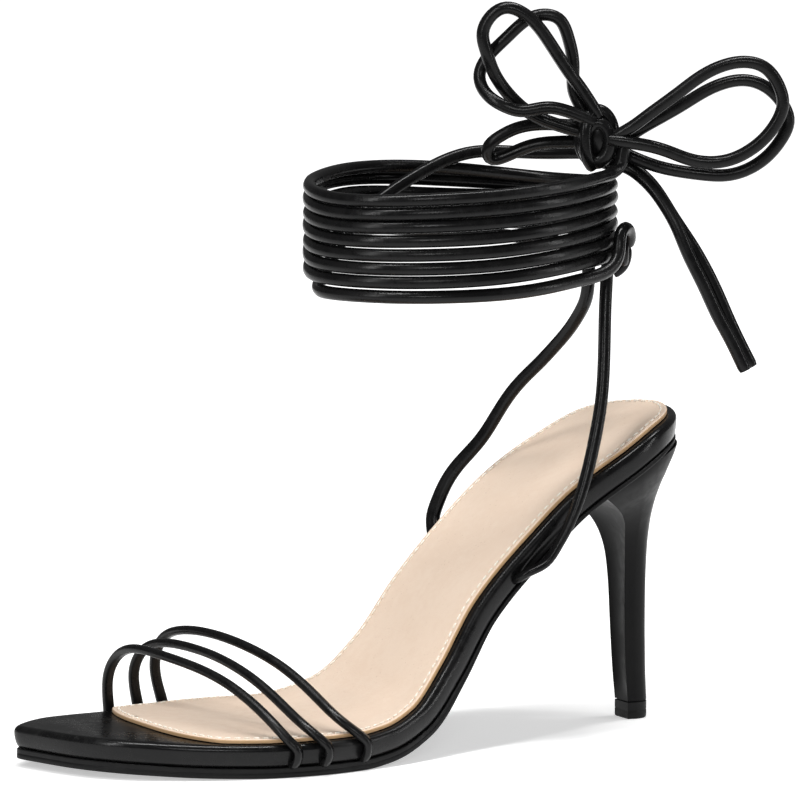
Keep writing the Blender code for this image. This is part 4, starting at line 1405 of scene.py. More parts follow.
def tube(
    name: str,
    route: np.ndarray,
    widths: object,
    thicknesses: object,
    hint: Sequence[float],
    section: Section,
    closed: bool = False,
) -> bpy.types.Object:
    """Models a lace, strap or cord as a mesh along its route.

    Args:
        name: The piece's name.
        route: Points of its middle line.
        widths: Its width, one value or one a point.
        thicknesses: Its thickness along hint, one value or one a point.
        hint: Direction that the thickness starts from.
        section: Its cross-section.
        closed: Whether the route is a ring.

    Returns:
        The piece.
    """
    count = len(route)
    wide, flat = tube_frames(route, hint)
    turn, reach, sunk = section.spokes()
    across = 0.5 * np.broadcast_to(widths, count)[:, None] * reach - sunk
    deep = 0.5 * np.broadcast_to(thicknesses, count)[:, None] * reach - sunk
    if not closed:
        across[[0, -1]] *= END_GIRTH
        deep[[0, -1]] *= END_GIRTH
    side_part = across * np.cos(turn)
    deep_part = deep * np.sin(turn)
    places = route[:, None] + side_part[..., None] * wide[:, None] + deep_part[..., None] * flat[:, None]
    run = np.concatenate(([0.0], np.cumsum(np.linalg.norm(np.diff(route, axis=0), axis=1))))
    marks = np.stack([np.broadcast_to(run[:, None], side_part.shape), side_part, deep_part], axis=-1)
    sides = section.sides
    faces = ring_faces(count, sides, closed)
    if not closed:
        faces.append(tuple(range(sides))[::-1])
        faces.append(tuple((count - 1) * sides + k for k in range(sides)))
    piece = add_mesh(name, places.reshape(-1, 3), faces)
    mark_places(piece, marks.reshape(-1, 3))
    smooth_by_angle(piece, 50.0)
    return piece


def lengthened(route: np.ndarray, start: float, end: float) -> np.ndarray:
    """A route drawn out straight at its start and its end.

    Args:
        route: Points of the route.
        start: Length added at its start.
        end: Length added at its end.

    Returns:
        The longer route.
    """
    first = route[0] + (route[0] - route[1]) / np.linalg.norm(route[0] - route[1]) * start
    final = route[-1] + (route[-1] - route[-2]) / np.linalg.norm(route[-1] - route[-2]) * end
    parts = [first[None]] if start > 0.0 else []
    parts.append(route)
    if end > 0.0:
        parts.append(final[None])
    return np.concatenate(parts)


def ring_route(centre: Vector, wide: Vector, tall: Vector, radii: Sequence[float]) -> np.ndarray:
    """Points round an ellipse in the plane of wide and tall.

    Args:
        centre: The ellipse's middle.
        wide: Its level direction.
        tall: Its upright direction.
        radii: Its radii along wide and tall.

    Returns:
        The points, one row each.
    """
    turn = np.linspace(0.0, math.tau, 44, endpoint=False)[:, None]
    wide_part = np.cos(turn) * radii[0] * np.array(wide)
    return np.array(centre) + wide_part + np.sin(turn) * radii[1] * np.array(tall)


def ring_tube(name: str, route: np.ndarray, cord: float, through: Vector) -> bpy.types.Object:
    """A closed ring of cord.

    Args:
        name: The piece's name.
        route: Points of the route.
        cord: The cord's diameter.
        through: Direction of the ring's axis.

    Returns:
        The piece.
    """
    count = len(route)
    ahead = np.roll(route, -1, axis=0) - np.roll(route, 1, axis=0)
    ahead /= np.linalg.norm(ahead, axis=1)[:, None]
    out = np.cross(ahead, np.array(through))
    sides = 18
    turn = math.tau * np.arange(sides) / sides
    outward = np.cos(turn)[None, :, None] * out[:, None]
    off = 0.5 * cord * (outward + np.sin(turn)[None, :, None] * np.array(through))
    piece = add_mesh(name, (route[:, None] + off).reshape(-1, 3), ring_faces(count, sides, True))
    run = np.arange(count)[:, None] * np.ones(sides) * np.linalg.norm(route[1] - route[0])
    round_part = np.broadcast_to(0.5 * cord * np.cos(turn), run.shape)
    deep_part = np.broadcast_to(0.5 * cord * np.sin(turn), run.shape)
    mark_places(piece, np.stack([run, round_part, deep_part], axis=-1).reshape(-1, 3))
    only(piece)
    bpy.ops.object.mode_set(mode="EDIT")
    bpy.ops.mesh.select_all(action="SELECT")
    bpy.ops.mesh.normals_make_consistent(inside=False)
    bpy.ops.object.mode_set(mode="OBJECT")
    return piece


def joined(name: str, pieces: Sequence[bpy.types.Object]) -> bpy.types.Object:
    """Joins pieces to one of that name.

    Args:
        name: The piece's name.
        pieces: The pieces to join.

    Returns:
        The joined piece.
    """
    only(pieces[0])
    for piece in pieces:
        piece.select_set(True)
    bpy.ops.object.join()
    return named(name)


@dataclass(frozen=True)
class ViewPoint:
    """The camera, fitted to the photograph."""

    place: tuple = (-1.2092, -2.2080, 0.4558)
    azimuth: float = 29.62
    elevation: float = 7.90
    roll: float = 0.27
    lens: float = 384.03
    shift: tuple = (0.001, 0.000125)

    def build(self) -> None:
        """Sets the camera of the scene."""
        az, el, roll = (math.radians(v) for v in (self.azimuth, self.elevation, self.roll))
        ahead = Vector((math.sin(az) * math.cos(el), math.cos(az) * math.cos(el), -math.sin(el)))
        level = Vector((math.cos(az), -math.sin(az), 0.0))
        upright = level.cross(ahead)
        right = level * math.cos(roll) + upright * math.sin(roll)
        up = upright * math.cos(roll) - level * math.sin(roll)
        data = bpy.data.cameras.new("photo_camera")
        data.lens = self.lens
        data.sensor_width = 36.0
        data.shift_x, data.shift_y = self.shift
        data.clip_end = 30.0
        camera = bpy.data.objects.new("photo_camera", data)
        turn = Matrix((right, up, -ahead)).transposed().to_4x4()
        camera.matrix_world = Matrix.Translation(Vector(self.place)) @ turn
        bpy.context.scene.collection.objects.link(camera)
        bpy.context.scene.camera = camera


class Softbox(NamedTuple):
    """A soft lamp: where it is, what it looks at, its sides and its power."""

    name: str
    place: tuple
    target: tuple
    wide: float
    tall: float
    power: float


@dataclass(frozen=True)
class Studio:
    """A pale floor and soft lamps."""

    lamps: tuple = (
        Softbox("overhead", (0.05, -0.10, 1.30), (0.03, 0.0, 0.05), 1.3, 0.13, 18.0),
        Softbox("left", (-1.20, -0.55, 0.80), (0.03, 0.0, 0.08), 0.065, 1.1, 7.5),
        Softbox("right", (1.10, -0.85, 0.50), (0.03, 0.0, 0.08), 0.05, 0.9, 3.8),
        Softbox("front", (-0.55, -1.55, 0.95), (0.03, 0.0, 0.05), 0.55, 0.07, 4.8),
    )
    sky: float = 0.14
    front_glow: float = 0.10
    near_glow: float = 0.48
    far_glow: float = 0.92

    def build(self) -> None:
        """Sets the floor, the lamps, the sky and the colour view."""
        deselect_all()
        bpy.ops.mesh.primitive_plane_add(size=14.0)
        floor = named("studio_floor")
        made, net, shader = start_material("floor_paper")
        grain = net.noise(place_socket(net, None), 3.0, 2.0)
        pale, paler = (0.86, 0.86, 0.86, 1.0), (0.89, 0.89, 0.89, 1.0)
        net.feed(shader.inputs["Base Color"], net.blend(grain, pale, paler))
        shader.inputs["Roughness"].default_value = 0.75
        shader.inputs["Specular IOR Level"].default_value = 0.1
        place = place_socket(net, None)
        away = net.add("ShaderNodeVectorMath", operation="DOT_PRODUCT", _0=place, _1=(0.494, 0.869, 0.0))
        before = net.ramp(away.outputs["Value"], -0.40, -0.12, self.front_glow - self.near_glow, 0.0)
        behind = net.ramp(away.outputs["Value"], 0.25, 1.10, self.near_glow, self.far_glow)
        glow = net.math("ADD", before, behind)
        shader.inputs["Emission Color"].default_value = (1.0, 1.0, 1.0, 1.0)
        net.feed(shader.inputs["Emission Strength"], glow)
        floor.data.materials.append(made)
        for lamp in self.lamps:
            data = bpy.data.lights.new(lamp.name, "AREA")
            data.shape = "RECTANGLE"
            data.size = lamp.wide
            data.size_y = lamp.tall
            data.energy = lamp.power
            holder = bpy.data.objects.new(lamp.name, data)
            holder.location = lamp.place
            way = Vector(lamp.target) - Vector(lamp.place)
            holder.rotation_euler = way.to_track_quat("-Z", "Y").to_euler()
            bpy.context.scene.collection.objects.link(holder)
        world = bpy.data.worlds.new("studio_sky")
        world.use_nodes = True
        back = world.node_tree.nodes["Background"]
        back.inputs["Color"].default_value = (1.0, 1.0, 1.0, 1.0)
        back.inputs["Strength"].default_value = self.sky
        bpy.context.scene.world = world
        bpy.context.scene.view_settings.view_transform = "Standard"


@dataclass(frozen=True)
class Laces:
    """The rising laces, the wraps round the ankle, the knots and the bow."""

    diameter: float = 0.0037
    swell: float = 0.00018
    foot_width: float = 0.0046
    foot_thickness: float = 0.0028
    tail: float = 0.0055
    lateral_along: float = 0.667
    medial_along: float = 0.677
    cuff_forward: float = 0.0728
    cuff_length: float = 0.0974
    cuff_width: float = 0.0680
    cuff_height: float = 0.1380
    row_pitch: float = 0.00405
    row_stagger: float = 0.0028
    steps_a_turn: int = 116
    knot_radius: float = 0.0033
    knot_cord: float = 0.0032
    bow_place: tuple = (0.1068, -0.0130, 0.1812)
    bow_turn: float = math.radians(-29.6)
    bow_core: tuple = (0.0088, 0.0098, 0.0150)
    bow_cord: float = 0.0043
    into_knot: float = 0.0028
    cord_step: float = 0.0012
    wrap_step: float = 0.0015
    rise_step: float = 0.0013
    knot_step: float = 0.0008
    folded: Section = Section(grooves=(Groove(205.0, 0.00020, 15.0), Groove(20.0, 0.00010, 12.0)))

    def cuff_point(self, sizes: SoleSizes, degrees: float, height: float, outward: float) -> tuple:
        """A point of the wraps; height is in rows, outward in laces.

        Args:
            sizes: The sole's sizes.
            degrees: Turn round the cuff.
            height: Height, in rows.
            outward: Offset outwards, in laces.

        Returns:
            The point.
        """
        turn = math.radians(degrees)
        centre = sizes.length - sizes.tread_back - self.cuff_forward
        reach = outward * self.diameter
        x = centre + (0.5 * self.cuff_length + reach) * math.cos(turn)
        y = (0.5 * self.cuff_width + reach) * math.sin(turn)
        return (x, y, self.cuff_height + height * self.row_pitch)

    def stagger(self, degrees: float, turn_number: int) -> float:
        """Offset of one turn, as they bunch in two layers on the inner side.

        Args:
            degrees: Turn round the cuff.
            turn_number: Number of the turn, from the lowest.

        Returns:
            The offset, in laces.
        """
        at = np.array((degrees + 180.0) % 360.0 - 180.0)
        share = smoothstep(at, -30.0, 14.0) * (1.0 - smoothstep(at, 128.0, 162.0))
        side = 1.0 if turn_number % 2 else -1.0
        return side * 0.5 * self.row_stagger / self.diameter * float(share)

    def wraps_route(self, sizes: SoleSizes) -> np.ndarray:
        """The lace round the ankle: seven turns, and its rise into the bow.

        Args:
            sizes: The sole's sizes.

        Returns:
            Points of the route, one row each.
        """
        turns = [WRAP_START.angle]
        heights = [WRAP_START.height]
        for number, row in enumerate(WRAP_ROWS):
            turns.extend(360.0 * number + angle for angle in WRAP_ANGLES)
            heights.extend(row)
        full = 360.0 * (len(WRAP_ROWS) - 1)
        level_end = full + WRAP_END[0].angle - 8.0
        count = round((level_end - turns[0]) / 360.0 * self.steps_a_turn) + 1
        even = np.linspace(turns[0], level_end, count)
        route = []
        for at, height in zip(even, natural_curve(turns, heights, even)):
            offset = self.stagger(at, int((at + 23.0) // 360.0))
            route.append(self.cuff_point(sizes, at, height, offset))
        rise = [self.cuff_point(sizes, full + row.angle, row.height, row.outward) for row in WRAP_END]
        ending = smooth_route(route[-26::5] + rise, 0.0014)
        return lengthened(np.concatenate([np.array(route[:-26]), ending]), 0.0, 0.0030)

    def rising_lace(
        self, name: str, last: Last, along: float, side: Side, rise: Sequence
    ) -> bpy.types.Object:
        """One rising lace, flat where it leaves the sole and round higher up.

        Args:
            name: The piece's name.
            last: The sole's form.
            along: Where it leaves the sole.
            side: The side of the sole.
            rise: Its points above the sole.

        Returns:
            The piece.
        """
        under = last.sizes.footbed - 0.5 * (self.foot_thickness + last.sizes.clearance)
        foot = [
            last.edge(along, side.value, -self.tail, under),
            last.edge(along + 0.002, side.value, -0.2 * self.tail, under),
            last.edge(along + 0.011, side.value, 0.0022, under - last.sizes.clearance),
        ]
        route = smooth_route(foot + list(rise), self.rise_step)
        grown = smoothstep(np.linspace(0.0, 1.0, len(route)), 0.15, 0.50)
        widths = self.foot_width + (self.diameter + self.swell - self.foot_width) * grown
        thicknesses = self.foot_thickness + (self.diameter + self.swell - self.foot_thickness) * grown
        ridged = Section(sides=24, grooves=(Groove(270.0, 0.00042, 17.0), Groove(232.0, 0.00012, 9.0),
                                            Groove(308.0, 0.00012, 9.0), Groove(90.0, 0.00018, 15.0)))
        return tube(name, route, widths, thicknesses, (-0.35, -0.75 * side.value, 0.5), ridged)

    def cord(self, name: str, points: Sequence, far_end: str, start: float, end: float,
             material: bpy.types.Material, tied: Sequence[bpy.types.Object] = ()) -> None:
        """One free cord of the bow.

        Args:
            name: Its node's name.
            points: The points that it goes through.
            far_end: What its far end is; not used.
            start: How far its start goes on into the knot.
            end: How far its end goes on into the knot.
            material: Its finish.
            tied: The pieces on it, such as its knot; not used.
        """
        route = lengthened(smooth_route(points, self.cord_step), start, end)
        size = self.diameter + self.swell
        piece = tube(name + "_lace", route, size, size, (0.0, -1.0, 0.3), self.folded)
        finish_piece(piece, material, Slot.LACE, (name,))

    def build_bow_knot(self, finishes: Finishes) -> bpy.types.Object:
        """The bow's knot: a core in two rings of lace, with a strand over its front.

        Args:
            finishes: The sandal's finishes.

        Returns:
            The knot.
        """
        across = Vector((math.cos(self.bow_turn), math.sin(self.bow_turn), 0.0))
        front = Vector((math.sin(self.bow_turn), -math.cos(self.bow_turn), 0.0))
        up = Vector((0.0, 0.0, 1.0))
        centre = Vector(self.bow_place)
        deselect_all()
        bpy.ops.mesh.primitive_ico_sphere_add(subdivisions=4, radius=0.5)
        core = named("bow_core")
        unit = grid_shares(core)
        wide, deep, tall = (0.9 * size for size in self.bow_core)
        places = np.array(centre) + unit[:, :1] * wide * np.array(across)
        places = places - unit[:, 1:2] * deep * np.array(front) + unit[:, 2:] * tall * np.array(up)
        place_vertices(core, places)
        core.data.shade_smooth()
        mark_places(core, unit * 0.004)
        parts = [core]
        inner = centre + front * 0.0028 - up * 0.0015
        rings = ((centre + front * -0.0008, (0.0049, 0.0078)), (inner, (0.0038, 0.0058)))
        for place, radii in rings:
            route = ring_route(place, across, up, radii)
            parts.append(ring_tube("ring", route, self.bow_cord, across.cross(up)))
        strand = [
            centre + across * -0.0022 + front * 0.0030 + up * 0.0075,
            centre + across * -0.0034 + front * 0.0048 + up * 0.0035,
            centre + across * -0.0036 + front * 0.0052 - up * 0.0015,
            centre + across * -0.0028 + front * 0.0046 - up * 0.0062,
            centre + across * -0.0012 + front * 0.0026 - up * 0.0090,
        ]
        route = smooth_route([tuple(p) for p in strand], self.knot_step)
        parts.append(tube("strand", route, 0.0038, 0.0038, tuple(front), self.folded))
        knot = joined("bow_knot_tied", parts)
        return finish_piece(knot, finishes.lace, Slot.LACE, ("bow_knot",))

    def build_bow(self, finishes: Finishes) -> None:
        """The bow's knot, its loops and its two hanging ends.

        Args:
            finishes: The sandal's finishes.
        """
        knot = self.build_bow_knot(finishes)
        into = self.into_knot
        self.cord("bow_loop_left_front", LOOP_LEFT_FRONT, "object", into, into, finishes.lace, (knot,))
        loops = (
            ("bow_loop_left_back", LOOP_LEFT_BACK),
            ("bow_loop_right_front", LOOP_RIGHT_FRONT),
            ("bow_loop_right_back", LOOP_RIGHT_BACK),
            ("bow_loop_small", LOOP_SMALL),
        )
        for name, points in loops:
            self.cord(name, points, "object", into, into, finishes.lace)
        for name, points in (("bow_end_front", END_FRONT), ("bow_end_back", END_BACK)):
            self.cord(name, points, "bare", into, 0.0, finishes.lace)

    def build_back_knot(self, sizes: SoleSizes, finishes: Finishes) -> None:
        """The small knot behind the ankle: a ring with the lace's end through.

        Args:
            sizes: The sole's sizes.
            finishes: The sandal's finishes.
        """
        heading = math.radians(-29.0)
        outward = Vector((math.cos(heading), math.sin(heading), 0.0))
        up = Vector((0.0, 0.0, 1.0))
        side = up.cross(outward)
        gap = 0.5 * (self.diameter + self.knot_cord) + 2.0 * sizes.clearance
        centre = Vector(self.cuff_point(sizes, 338.0, 2.10, 0.0)) + outward * (gap - 0.0004)
        cord = self.knot_cord
        radii = (self.knot_radius, 1.12 * self.knot_radius)
        ring = ring_tube("ring", ring_route(centre, side, up, radii), cord, side.cross(up))
        stub = [
            centre + outward * (0.10 * cord) + up * (0.3 * self.knot_radius),
            centre + outward * (0.30 * cord),
            centre + outward * (0.10 * cord) - up * (1.3 * self.knot_radius),
            centre - outward * (0.90 * cord) - up * (2.2 * self.knot_radius),
        ]
        route = smooth_route([tuple(p) for p in stub], self.knot_step)
        end = tube("stub", route, cord, cord, tuple(side), self.folded)
        finish_piece(joined("back_knot_tied", [ring, end]), finishes.lace, Slot.LACE, ("back_knot",))

    def build_wraps(self, last: Last, finishes: Finishes) -> None:
        """The wraps, the lace that crosses inside them and the rising laces.

        Args:
            last: The sole's form.
            finishes: The sandal's finishes.
        """
        size = self.diameter + self.swell
        up = (0.0, 0.0, 1.0)
        wraps = tube("ankle_wraps_wound", self.wraps_route(last.sizes), size, size, up, self.folded)
        finish_piece(wraps, finishes.lace, Slot.LACE, ("ankle_wraps",))
        crossing_rows = CROSSING_RISE + CROSSING[:-1] + CROSSING_CURL
        points = [self.cuff_point(last.sizes, *row) for row in crossing_rows]
        route = smooth_route(points, self.wrap_step)
        crossing = tube("ankle_crossing_laid", route, size, size, up, self.folded)
        finish_piece(crossing, finishes.lace, Slot.LACE, ("ankle_crossing",))
        plans = (
            ("lace_lateral", self.lateral_along, Side.LATERAL, LACE_LATERAL_RISE),
            ("lace_medial", self.medial_along, Side.MEDIAL, LACE_MEDIAL_RISE),
        )
        for node, along, side, rise in plans:
            piece = self.rising_lace(node + "_folded", last, along, side, rise)
            finish_piece(piece, finishes.lace, Slot.LACE, (node,))

    def build(self, last: Last, finishes: Finishes) -> None:
        """Builds the bow first, then the rest.

        Args:
            last: The sole's form.
            finishes: The sandal's finishes.
        """
        self.build_bow(finishes)
        self.build_wraps(last, finishes)
        self.build_back_knot(last.sizes, finishes)
        LOG.info("laces built")


@dataclass(frozen=True)
class ToeStraps:
    """The three toe straps, with their ends in the sides of the footbed."""

    width: float = 0.0034
    thickness: float = 0.0028
    cad_thickness: float = 0.0027
    crown: float = 0.0250
    tail: float = 0.0060
    section: Section = Section(sides=22, squareness=0.04, grooves=(Groove(12.0, 0.00012, 12.0),))

    def end(self, last: Last, along: float, side: Side) -> list:
        """Points of a strap's end, down the side of the footbed and under it.

        Args:
            last: The sole's form.
            along: Where it goes under the footbed.
            side: The side of the sole.

        Returns:
            The points.
        """
        sizes = last.sizes
        radius = 0.5 * self.cad_thickness
        reach = sizes.footbed_round + radius + sizes.clearance
        under = sizes.footbed - radius + 0.0007
        points = []
        for degrees, ahead in ((45.0, 0.007), (85.0, 0.0)):
            turn = math.radians(degrees)
            outward = reach * math.sin(turn) - sizes.footbed_round
            depth = sizes.footbed_round - reach * math.cos(turn)
            points.append(last.edge(along - ahead, side.value, outward, depth))
        return points + [
            last.edge(along, side.value, 0.5 * radius, under - 0.5 * radius),
            last.edge(along, side.value, -1.6 * radius, under),
            last.edge(along, side.value, -self.tail, under),
        ]

    def route(self, last: Last, plan: StrapPlan) -> np.ndarray:
        """Middle line of a strap, from its inner to its outer end.

        Args:
            last: The sole's form.
            plan: The strap's plan.

        Returns:
            Points of the route, one row each.
        """
        arch = []
        for row in plan.arch:
            x = row.along * last.sizes.length - last.sizes.tread_back
            z = last.tread_top + row.height * self.crown
            arch.append((x, row.across * last.sizes.ball_width, z))
        medial = self.end(last, plan.medial_along, Side.MEDIAL)[1:]
        lateral = self.end(last, plan.lateral_along, Side.LATERAL)
        return smooth_route(medial[::-1] + arch + lateral, 0.0011)

    def build(self, last: Last, finishes: Finishes) -> None:
        """Builds the three straps.

        Args:
            last: The sole's form.
            finishes: The sandal's finishes.
        """
        for plan in STRAPS:
            route = self.route(last, plan)
            share = np.linspace(0.0, 1.0, len(route))
            pressed = smoothstep(np.abs(share - 0.5), 0.34, 0.46)
            widths = self.thickness * (1.0 - 0.10 * pressed)
            thicknesses = self.width * (1.0 + 0.10 * pressed)
            piece = tube(plan.name + "_rolled", route, widths, thicknesses, (1.0, 0.0, 0.0), self.section)
            finish_piece(piece, finishes.strap, Slot.LACE, (plan.name,))
        LOG.info("toe straps built")


class SoftCrease(NamedTuple):
    """A soft trough or ridge across the lining.

    It lies at a share of the pattern's length, leans by slant, reaches over
    a span of the width about a middle, and its height is in millimetres.
    """

    along: float
    slant: float
    middle: float
    span: float
    breadth: float
    height: float


SOCK_CREASES = rows(
    SoftCrease,
    (0.300, 0.10, -0.10, 0.70, 3.6, -0.16),
    (0.352, -0.08, 0.15, 0.80, 4.2, 0.12),
    (0.420, 0.06, 0.00, 0.75, 3.2, -0.18),
    (0.468, 0.02, -0.20, 0.60, 2.6, -0.15),
    (0.515, -0.05, 0.10, 0.85, 4.0, 0.14),
    (0.585, 0.04, 0.00, 0.80, 3.4, -0.14),
    (0.700, -0.06, 0.10, 0.70, 5.0, 0.12),
    (0.835, 0.05, -0.10, 0.65, 6.0, -0.16),
    (0.905, 0.00, 0.05, 0.60, 5.5, -0.18),
)


@dataclass(frozen=True)
class SoleUnit:
    """The outsole, the wrapped footbed, the stitched lining and the heel."""

    sizes: SoleSizes
    pocket_along: tuple = (0.664, 0.768)
    pocket_depth: float = 0.0016
    pocket_height: float = 0.0036
    stitch_inset: float = 0.0019
    stitch_length: float = 0.0020
    stitch_pitch: float = 0.0029
    stitch_thickness: float = 0.00062

    def build_footbed(self, last: Last, finishes: Finishes) -> None:
        """The wrapped footbed, rolled along its top edge, with the lace's hollow.

        Args:
            last: The sole's form.
            finishes: The sandal's finishes.
        """
        sizes = self.sizes
        rims = []
        for turn in np.radians(np.linspace(0.0, 90.0, 10)):
            inset = sizes.footbed_round * (1.0 - math.sin(turn))
            rims.append((last.outline(inset), sizes.footbed_round * (1.0 - math.cos(turn))))
        tuck = last.heelwards(sizes.footbed_tuck, sizes.heel_tuck)
        for share in (0.2, 0.4, 0.6, 0.8, 0.93, 1.0):
            depth = sizes.footbed_round + (sizes.footbed - sizes.footbed_round) * share
            rolled = 0.0003 * smoothstep(np.array(share), 0.88, 1.0)
            rims.append((last.outline(tuck * share**2 + rolled), depth))
        footbed = sole_layer("footbed_wrapped", last, rims)
        start, end = self.pocket_along
        shares = np.linspace(0.0, 1.0, 25)
        depth = sizes.footbed_round + 0.60 * (sizes.footbed - sizes.footbed_round)
        route = np.array([last.edge(start + (end - start) * s, -1.0, 0.0, depth) for s in shares])
        swell = np.sin(math.pi * np.clip(shares, 0.06, 0.94)) ** 0.7
        plain = Section(sides=20, squareness=0.0, grooves=())
        cutter = tube("pocket", route, self.pocket_height * swell, 2.0 * self.pocket_depth * swell,
                      (0.0, 1.0, 0.0), plain)
        place_vertices(cutter, grid_shares(cutter))
        cut_away(footbed, cutter)
        smooth_by_angle(footbed, 38.0)
        finish_piece(footbed, finishes.cover, Slot.COVER, ("footbed",))

    def build_outsole(self, last: Last, finishes: Finishes) -> None:
        """The outsole, thick under the tread and thin from the waist back.

        Args:
            last: The sole's form.
            finishes: The sandal's finishes.
        """
        sizes = self.sizes
        top = sizes.footbed + sizes.clearance
        inset = last.heelwards(sizes.outsole_inset, 0.2 * sizes.outsole_inset)
        chamfer = last.heelwards(sizes.outsole_chamfer, 0.4 * sizes.outsole_chamfer)
        side = last.outline(inset)
        deep = last.outsole_depth(side) - 0.5 * sizes.outsole_chamfer
        rims = [(last.outline(inset + 0.0002), np.full(len(side), top)), (side, top + 0.0002)]
        for share, sunk in ((0.42, 0.0), (0.50, 0.00012), (0.58, 0.0), (1.0, 0.0)):
            rims.append((last.outline(inset + sunk), top + 0.0002 + (deep - 0.0002) * share))
        for turn in np.radians((30.0, 60.0, 90.0)):
            ring = last.outline(inset + chamfer * (1.0 - math.cos(turn)))
            low = last.outsole_depth(ring) - 0.5 * sizes.outsole_chamfer * (1.0 - math.sin(turn))
            rims.append((ring, top + low))
        outsole = sole_layer("outsole_pressed", last, rims)
        smooth_by_angle(outsole, 35.0)
        finish_piece(outsole, finishes.tread, Slot.TREAD, ("outsole",))

    def creases(self, last: Last, run: np.ndarray, across: np.ndarray) -> np.ndarray:
        """Height of the lining's soft creases at places of the flat pattern.

        Args:
            last: The sole's form.
            run: Distances from the toe.
            across: Distances across.

        Returns:
            The height at each place.
        """
        height = np.zeros_like(run)
        half = 0.5 * self.sizes.ball_width
        for crease in SOCK_CREASES:
            line = crease.along * last.length() + crease.slant * across
            reach = hump(across / half, crease.middle, crease.span)
            height += crease.height * MM * reach * hump(run, line, crease.breadth * MM)
        return height

    def build_sock(self, last: Last, finishes: Finishes) -> None:
        """The lining, glued on the footbed, with its stitched edge.

        Args:
            last: The sole's form.
            finishes: The sandal's finishes.
        """
        sizes = self.sizes
        low = -sizes.clearance
        high = low - sizes.sock
        groove = self.stitch_inset
        rims = []
        for inset, sunk in ((3.6, 0.0), (2.9, 0.02), (2.4, 0.08), (groove / MM, 0.24),
                            (1.5, 0.14), (1.1, 0.03), (0.7, 0.0), (0.35, 0.05), (0.12, 0.20)):
            rims.append((last.sock_outline(inset * MM), high + sunk * MM))
        for depth in (high + 0.00045, 0.5 * (high + low), low):
            rims.append((last.sock_outline(0.0), depth))
        rims.append((last.sock_outline(0.0003), low + 0.0001))
        sock = sole_layer("insole_lining", last, rims, lambda run, across: self.creases(last, run, across))
        smooth_by_angle(sock, 50.0)
        finish_piece(sock, finishes.lining, Slot.LINING, ("insole_sock",))
        self.build_stitches(last, high - 0.00002, finishes)

    def build_stitches(self, last: Last, depth: float, finishes: Finishes) -> None:
        """The row of stitches along the lining's edge, as one joined mesh.

        Args:
            last: The sole's form.
            depth: Their depth below the footbed's top.
            finishes: The sandal's finishes.
        """
        ring = last.sock_outline(self.stitch_inset)
        ring = np.concatenate([ring, ring[:1]])
        lifted = np.column_stack([ring, np.zeros(len(ring))])
        places = even_route(lifted, STITCH_STEP)
        count = int(route_length(places) / self.stitch_pitch)
        sides = 8
        turn = math.tau * np.arange(sides) / sides
        profile = ((-0.5, 0.35), (-0.42, 0.80), (-0.2, 1.0), (0.2, 1.0), (0.42, 0.80), (0.5, 0.35))
        half = 0.5 * self.stitch_thickness
        vertices = []
        faces = []
        for number in range(count):
            at = (number + 0.5) * len(places) / count
            for share, girth in profile:
                place = places[int(at + share * self.stitch_length / STITCH_STEP) % len(places)]
                ahead = places[int(at + 4) % len(places)] - places[int(at - 4) % len(places)]
                ahead /= np.linalg.norm(ahead)
                sideways = half * girth * np.cos(turn)
                upward = half * girth * np.sin(turn) - 0.5 * half * (1.0 - girth)
                run = place[0] - ahead[1] * sideways
                across = place[1] + ahead[0] * sideways
                vertices.append(last.bend(run, across, depth - upward))
            base = number * len(profile) * sides
            shell = ring_faces(len(profile), sides)
            faces.extend(tuple(base + k for k in face) for face in shell)
            faces.append(tuple(base + k for k in reversed(range(sides))))
            faces.append(tuple(base + (len(profile) - 1) * sides + k for k in range(sides)))
        piece = add_mesh("lining_stitches", np.concatenate(vertices), faces)
        place_vertices(piece, grid_shares(piece))
        LOG.info("%d stitches", count)
        finish_piece(piece, finishes.thread, Slot.LINING)

    def build(self, last: Last, finishes: Finishes) -> None:
        """Builds the sole's layers.

        Args:
            last: The sole's form.
            finishes: The sandal's finishes.
        """
        self.build_footbed(last, finishes)
        self.build_outsole(last, finishes)
        self.build_sock(last, finishes)
        LOG.info("sole built")


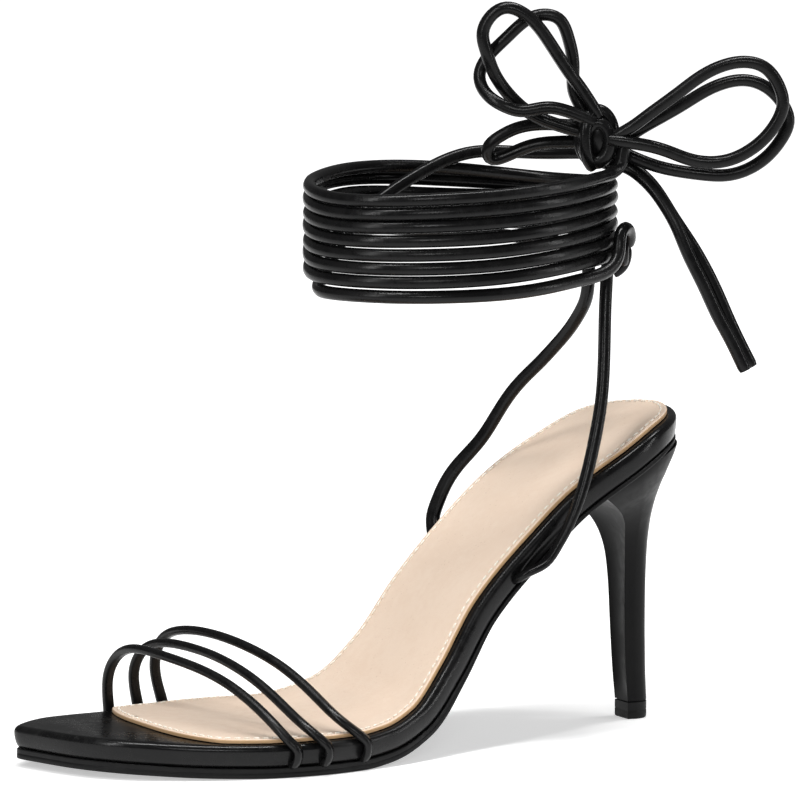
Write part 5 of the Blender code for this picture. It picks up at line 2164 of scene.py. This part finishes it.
@dataclass(frozen=True)
class Heel:
    """The covered heel and its top piece."""

    seat_length: float = 0.0400
    tip_setback: float = 0.0110
    tip_length: float = 0.0081
    tip_width: float = 0.0090
    hollow: float = 0.0010
    top_piece: float = 0.0053
    rows: int = 72

    def section(self, front: np.ndarray, back: np.ndarray, half_width: float, hollow: float) -> np.ndarray:
        """One closed section: flat breast, rounded sides and back.

        Args:
            front: The breast's x and z.
            back: The back's x and z.
            half_width: Half of the section's width.
            hollow: How far the breast is hollowed.

        Returns:
            Points of the section, one row each.
        """
        middle = front + (back - front) * 0.32
        turn = np.pi * (np.linspace(0.0, 1.0, 48) - 0.5)
        reach = np.abs(np.cos(turn)) ** 0.85
        side = np.sign(turn) * np.abs(np.sin(turn)) ** 0.85
        outer = middle + (back - middle) * reach[:, None]
        points = [np.column_stack([outer[:, 0], half_width * side, outer[:, 1]])]
        corner = 0.86
        lean = (back - front) / np.linalg.norm(back - front)
        share = np.linspace(corner, -corner, 16)
        breast = front + lean * (hollow * (1.0 - (share / corner) ** 2))[:, None]
        points.append(np.column_stack([breast[:, 0], half_width * share, breast[:, 1]]))
        return np.concatenate(points)

    def tip_section(self, tip: float, height: float, inset: float) -> np.ndarray:
        """Section of the heel's tip at one height, drawn in by inset.

        Args:
            tip: Place of the tip's middle.
            height: The section's height.
            inset: How far it is drawn in.

        Returns:
            Points of the section, one row each.
        """
        front = np.array([tip - 0.5 * self.tip_length + inset, height])
        back = np.array([tip + 0.5 * self.tip_length - inset, height])
        return self.section(front, back, 0.5 * self.tip_width - inset, 0.0)

    def build(self, last: Last, finishes: Finishes) -> None:
        """Builds the heel, cut to the outsole's curve, and its top piece.

        Args:
            last: The sole's form.
            finishes: The sandal's finishes.
        """
        sizes = last.sizes
        tip = sizes.length - sizes.tread_back - self.tip_setback
        run = np.array([last.run_at((tip + sizes.tread_back) / sizes.length)])
        under = sizes.footbed + sizes.clearance + sizes.outsole_waist
        height = float(last.bend(run, np.zeros(1), np.array([under]))[0][2])
        table = []
        for row in HEEL_ROWS:
            front = (tip + row.front * self.seat_length, row.front_rise * height)
            back = (tip + row.back * self.seat_length, row.back_rise * height)
            table.append((*front, *back, 0.5 * row.width * sizes.seat_width, self.hollow))
        low = self.top_piece + sizes.clearance
        half = 0.5 * self.tip_length
        table.append((tip - half, low, tip + half, low, 0.5 * self.tip_width, 0.0))
        knots = np.arange(len(table), dtype=float)
        fine = np.linspace(0.0, knots[-1], self.rows)
        columns = [level_curve(knots, [row[k] for row in table], fine) for k in range(6)]
        rings = []
        for fx, fz, bx, bz, wide, hollow in zip(*columns):
            rings.append(self.section(np.array([fx, fz]), np.array([bx, bz]), wide, hollow))
        heel = stacked_rings("heel_covered", rings)
        wide = last.outline(-0.2 * sizes.seat_width)
        depth = sizes.footbed + 2.0 * sizes.clearance + last.outsole_depth(wide)
        block = sole_layer("sole_block", last, [(wide, -4.0 * sizes.footbed), (wide, depth)])
        cut_away(heel, block)
        smooth_by_angle(heel, 34.0)
        finish_piece(heel, finishes.heel_cover, Slot.COVER, ("heel",))
        rings = []
        for share, inset in ((1.0, 0.00015), (0.97, 0.0), (0.55, 0.0), (0.50, 0.00008), (0.45, 0.0),
                             (0.10, 0.0), (0.04, 0.00015), (0.0, 0.0004)):
            rings.append(self.tip_section(tip, share * self.top_piece, inset))
        piece = stacked_rings("heel_top_piece_pressed", rings)
        smooth_by_angle(piece, 40.0)
        finish_piece(piece, finishes.tread, Slot.TREAD, ("heel_top_piece",))
        LOG.info("heel built")


def main() -> None:
    """Builds the studio, the laces, the straps, the sole and the heel."""
    logging.basicConfig(level=logging.INFO, format="%(message)s")
    ViewPoint().build()
    Studio().build()
    finishes = Finishes.build()
    sizes = SoleSizes()
    last = Last(sizes)
    Laces().build(last, finishes)
    ToeStraps().build(last, finishes)
    SoleUnit(sizes).build(last, finishes)
    Heel().build(last, finishes)


if __name__ == "__main__":
    main()
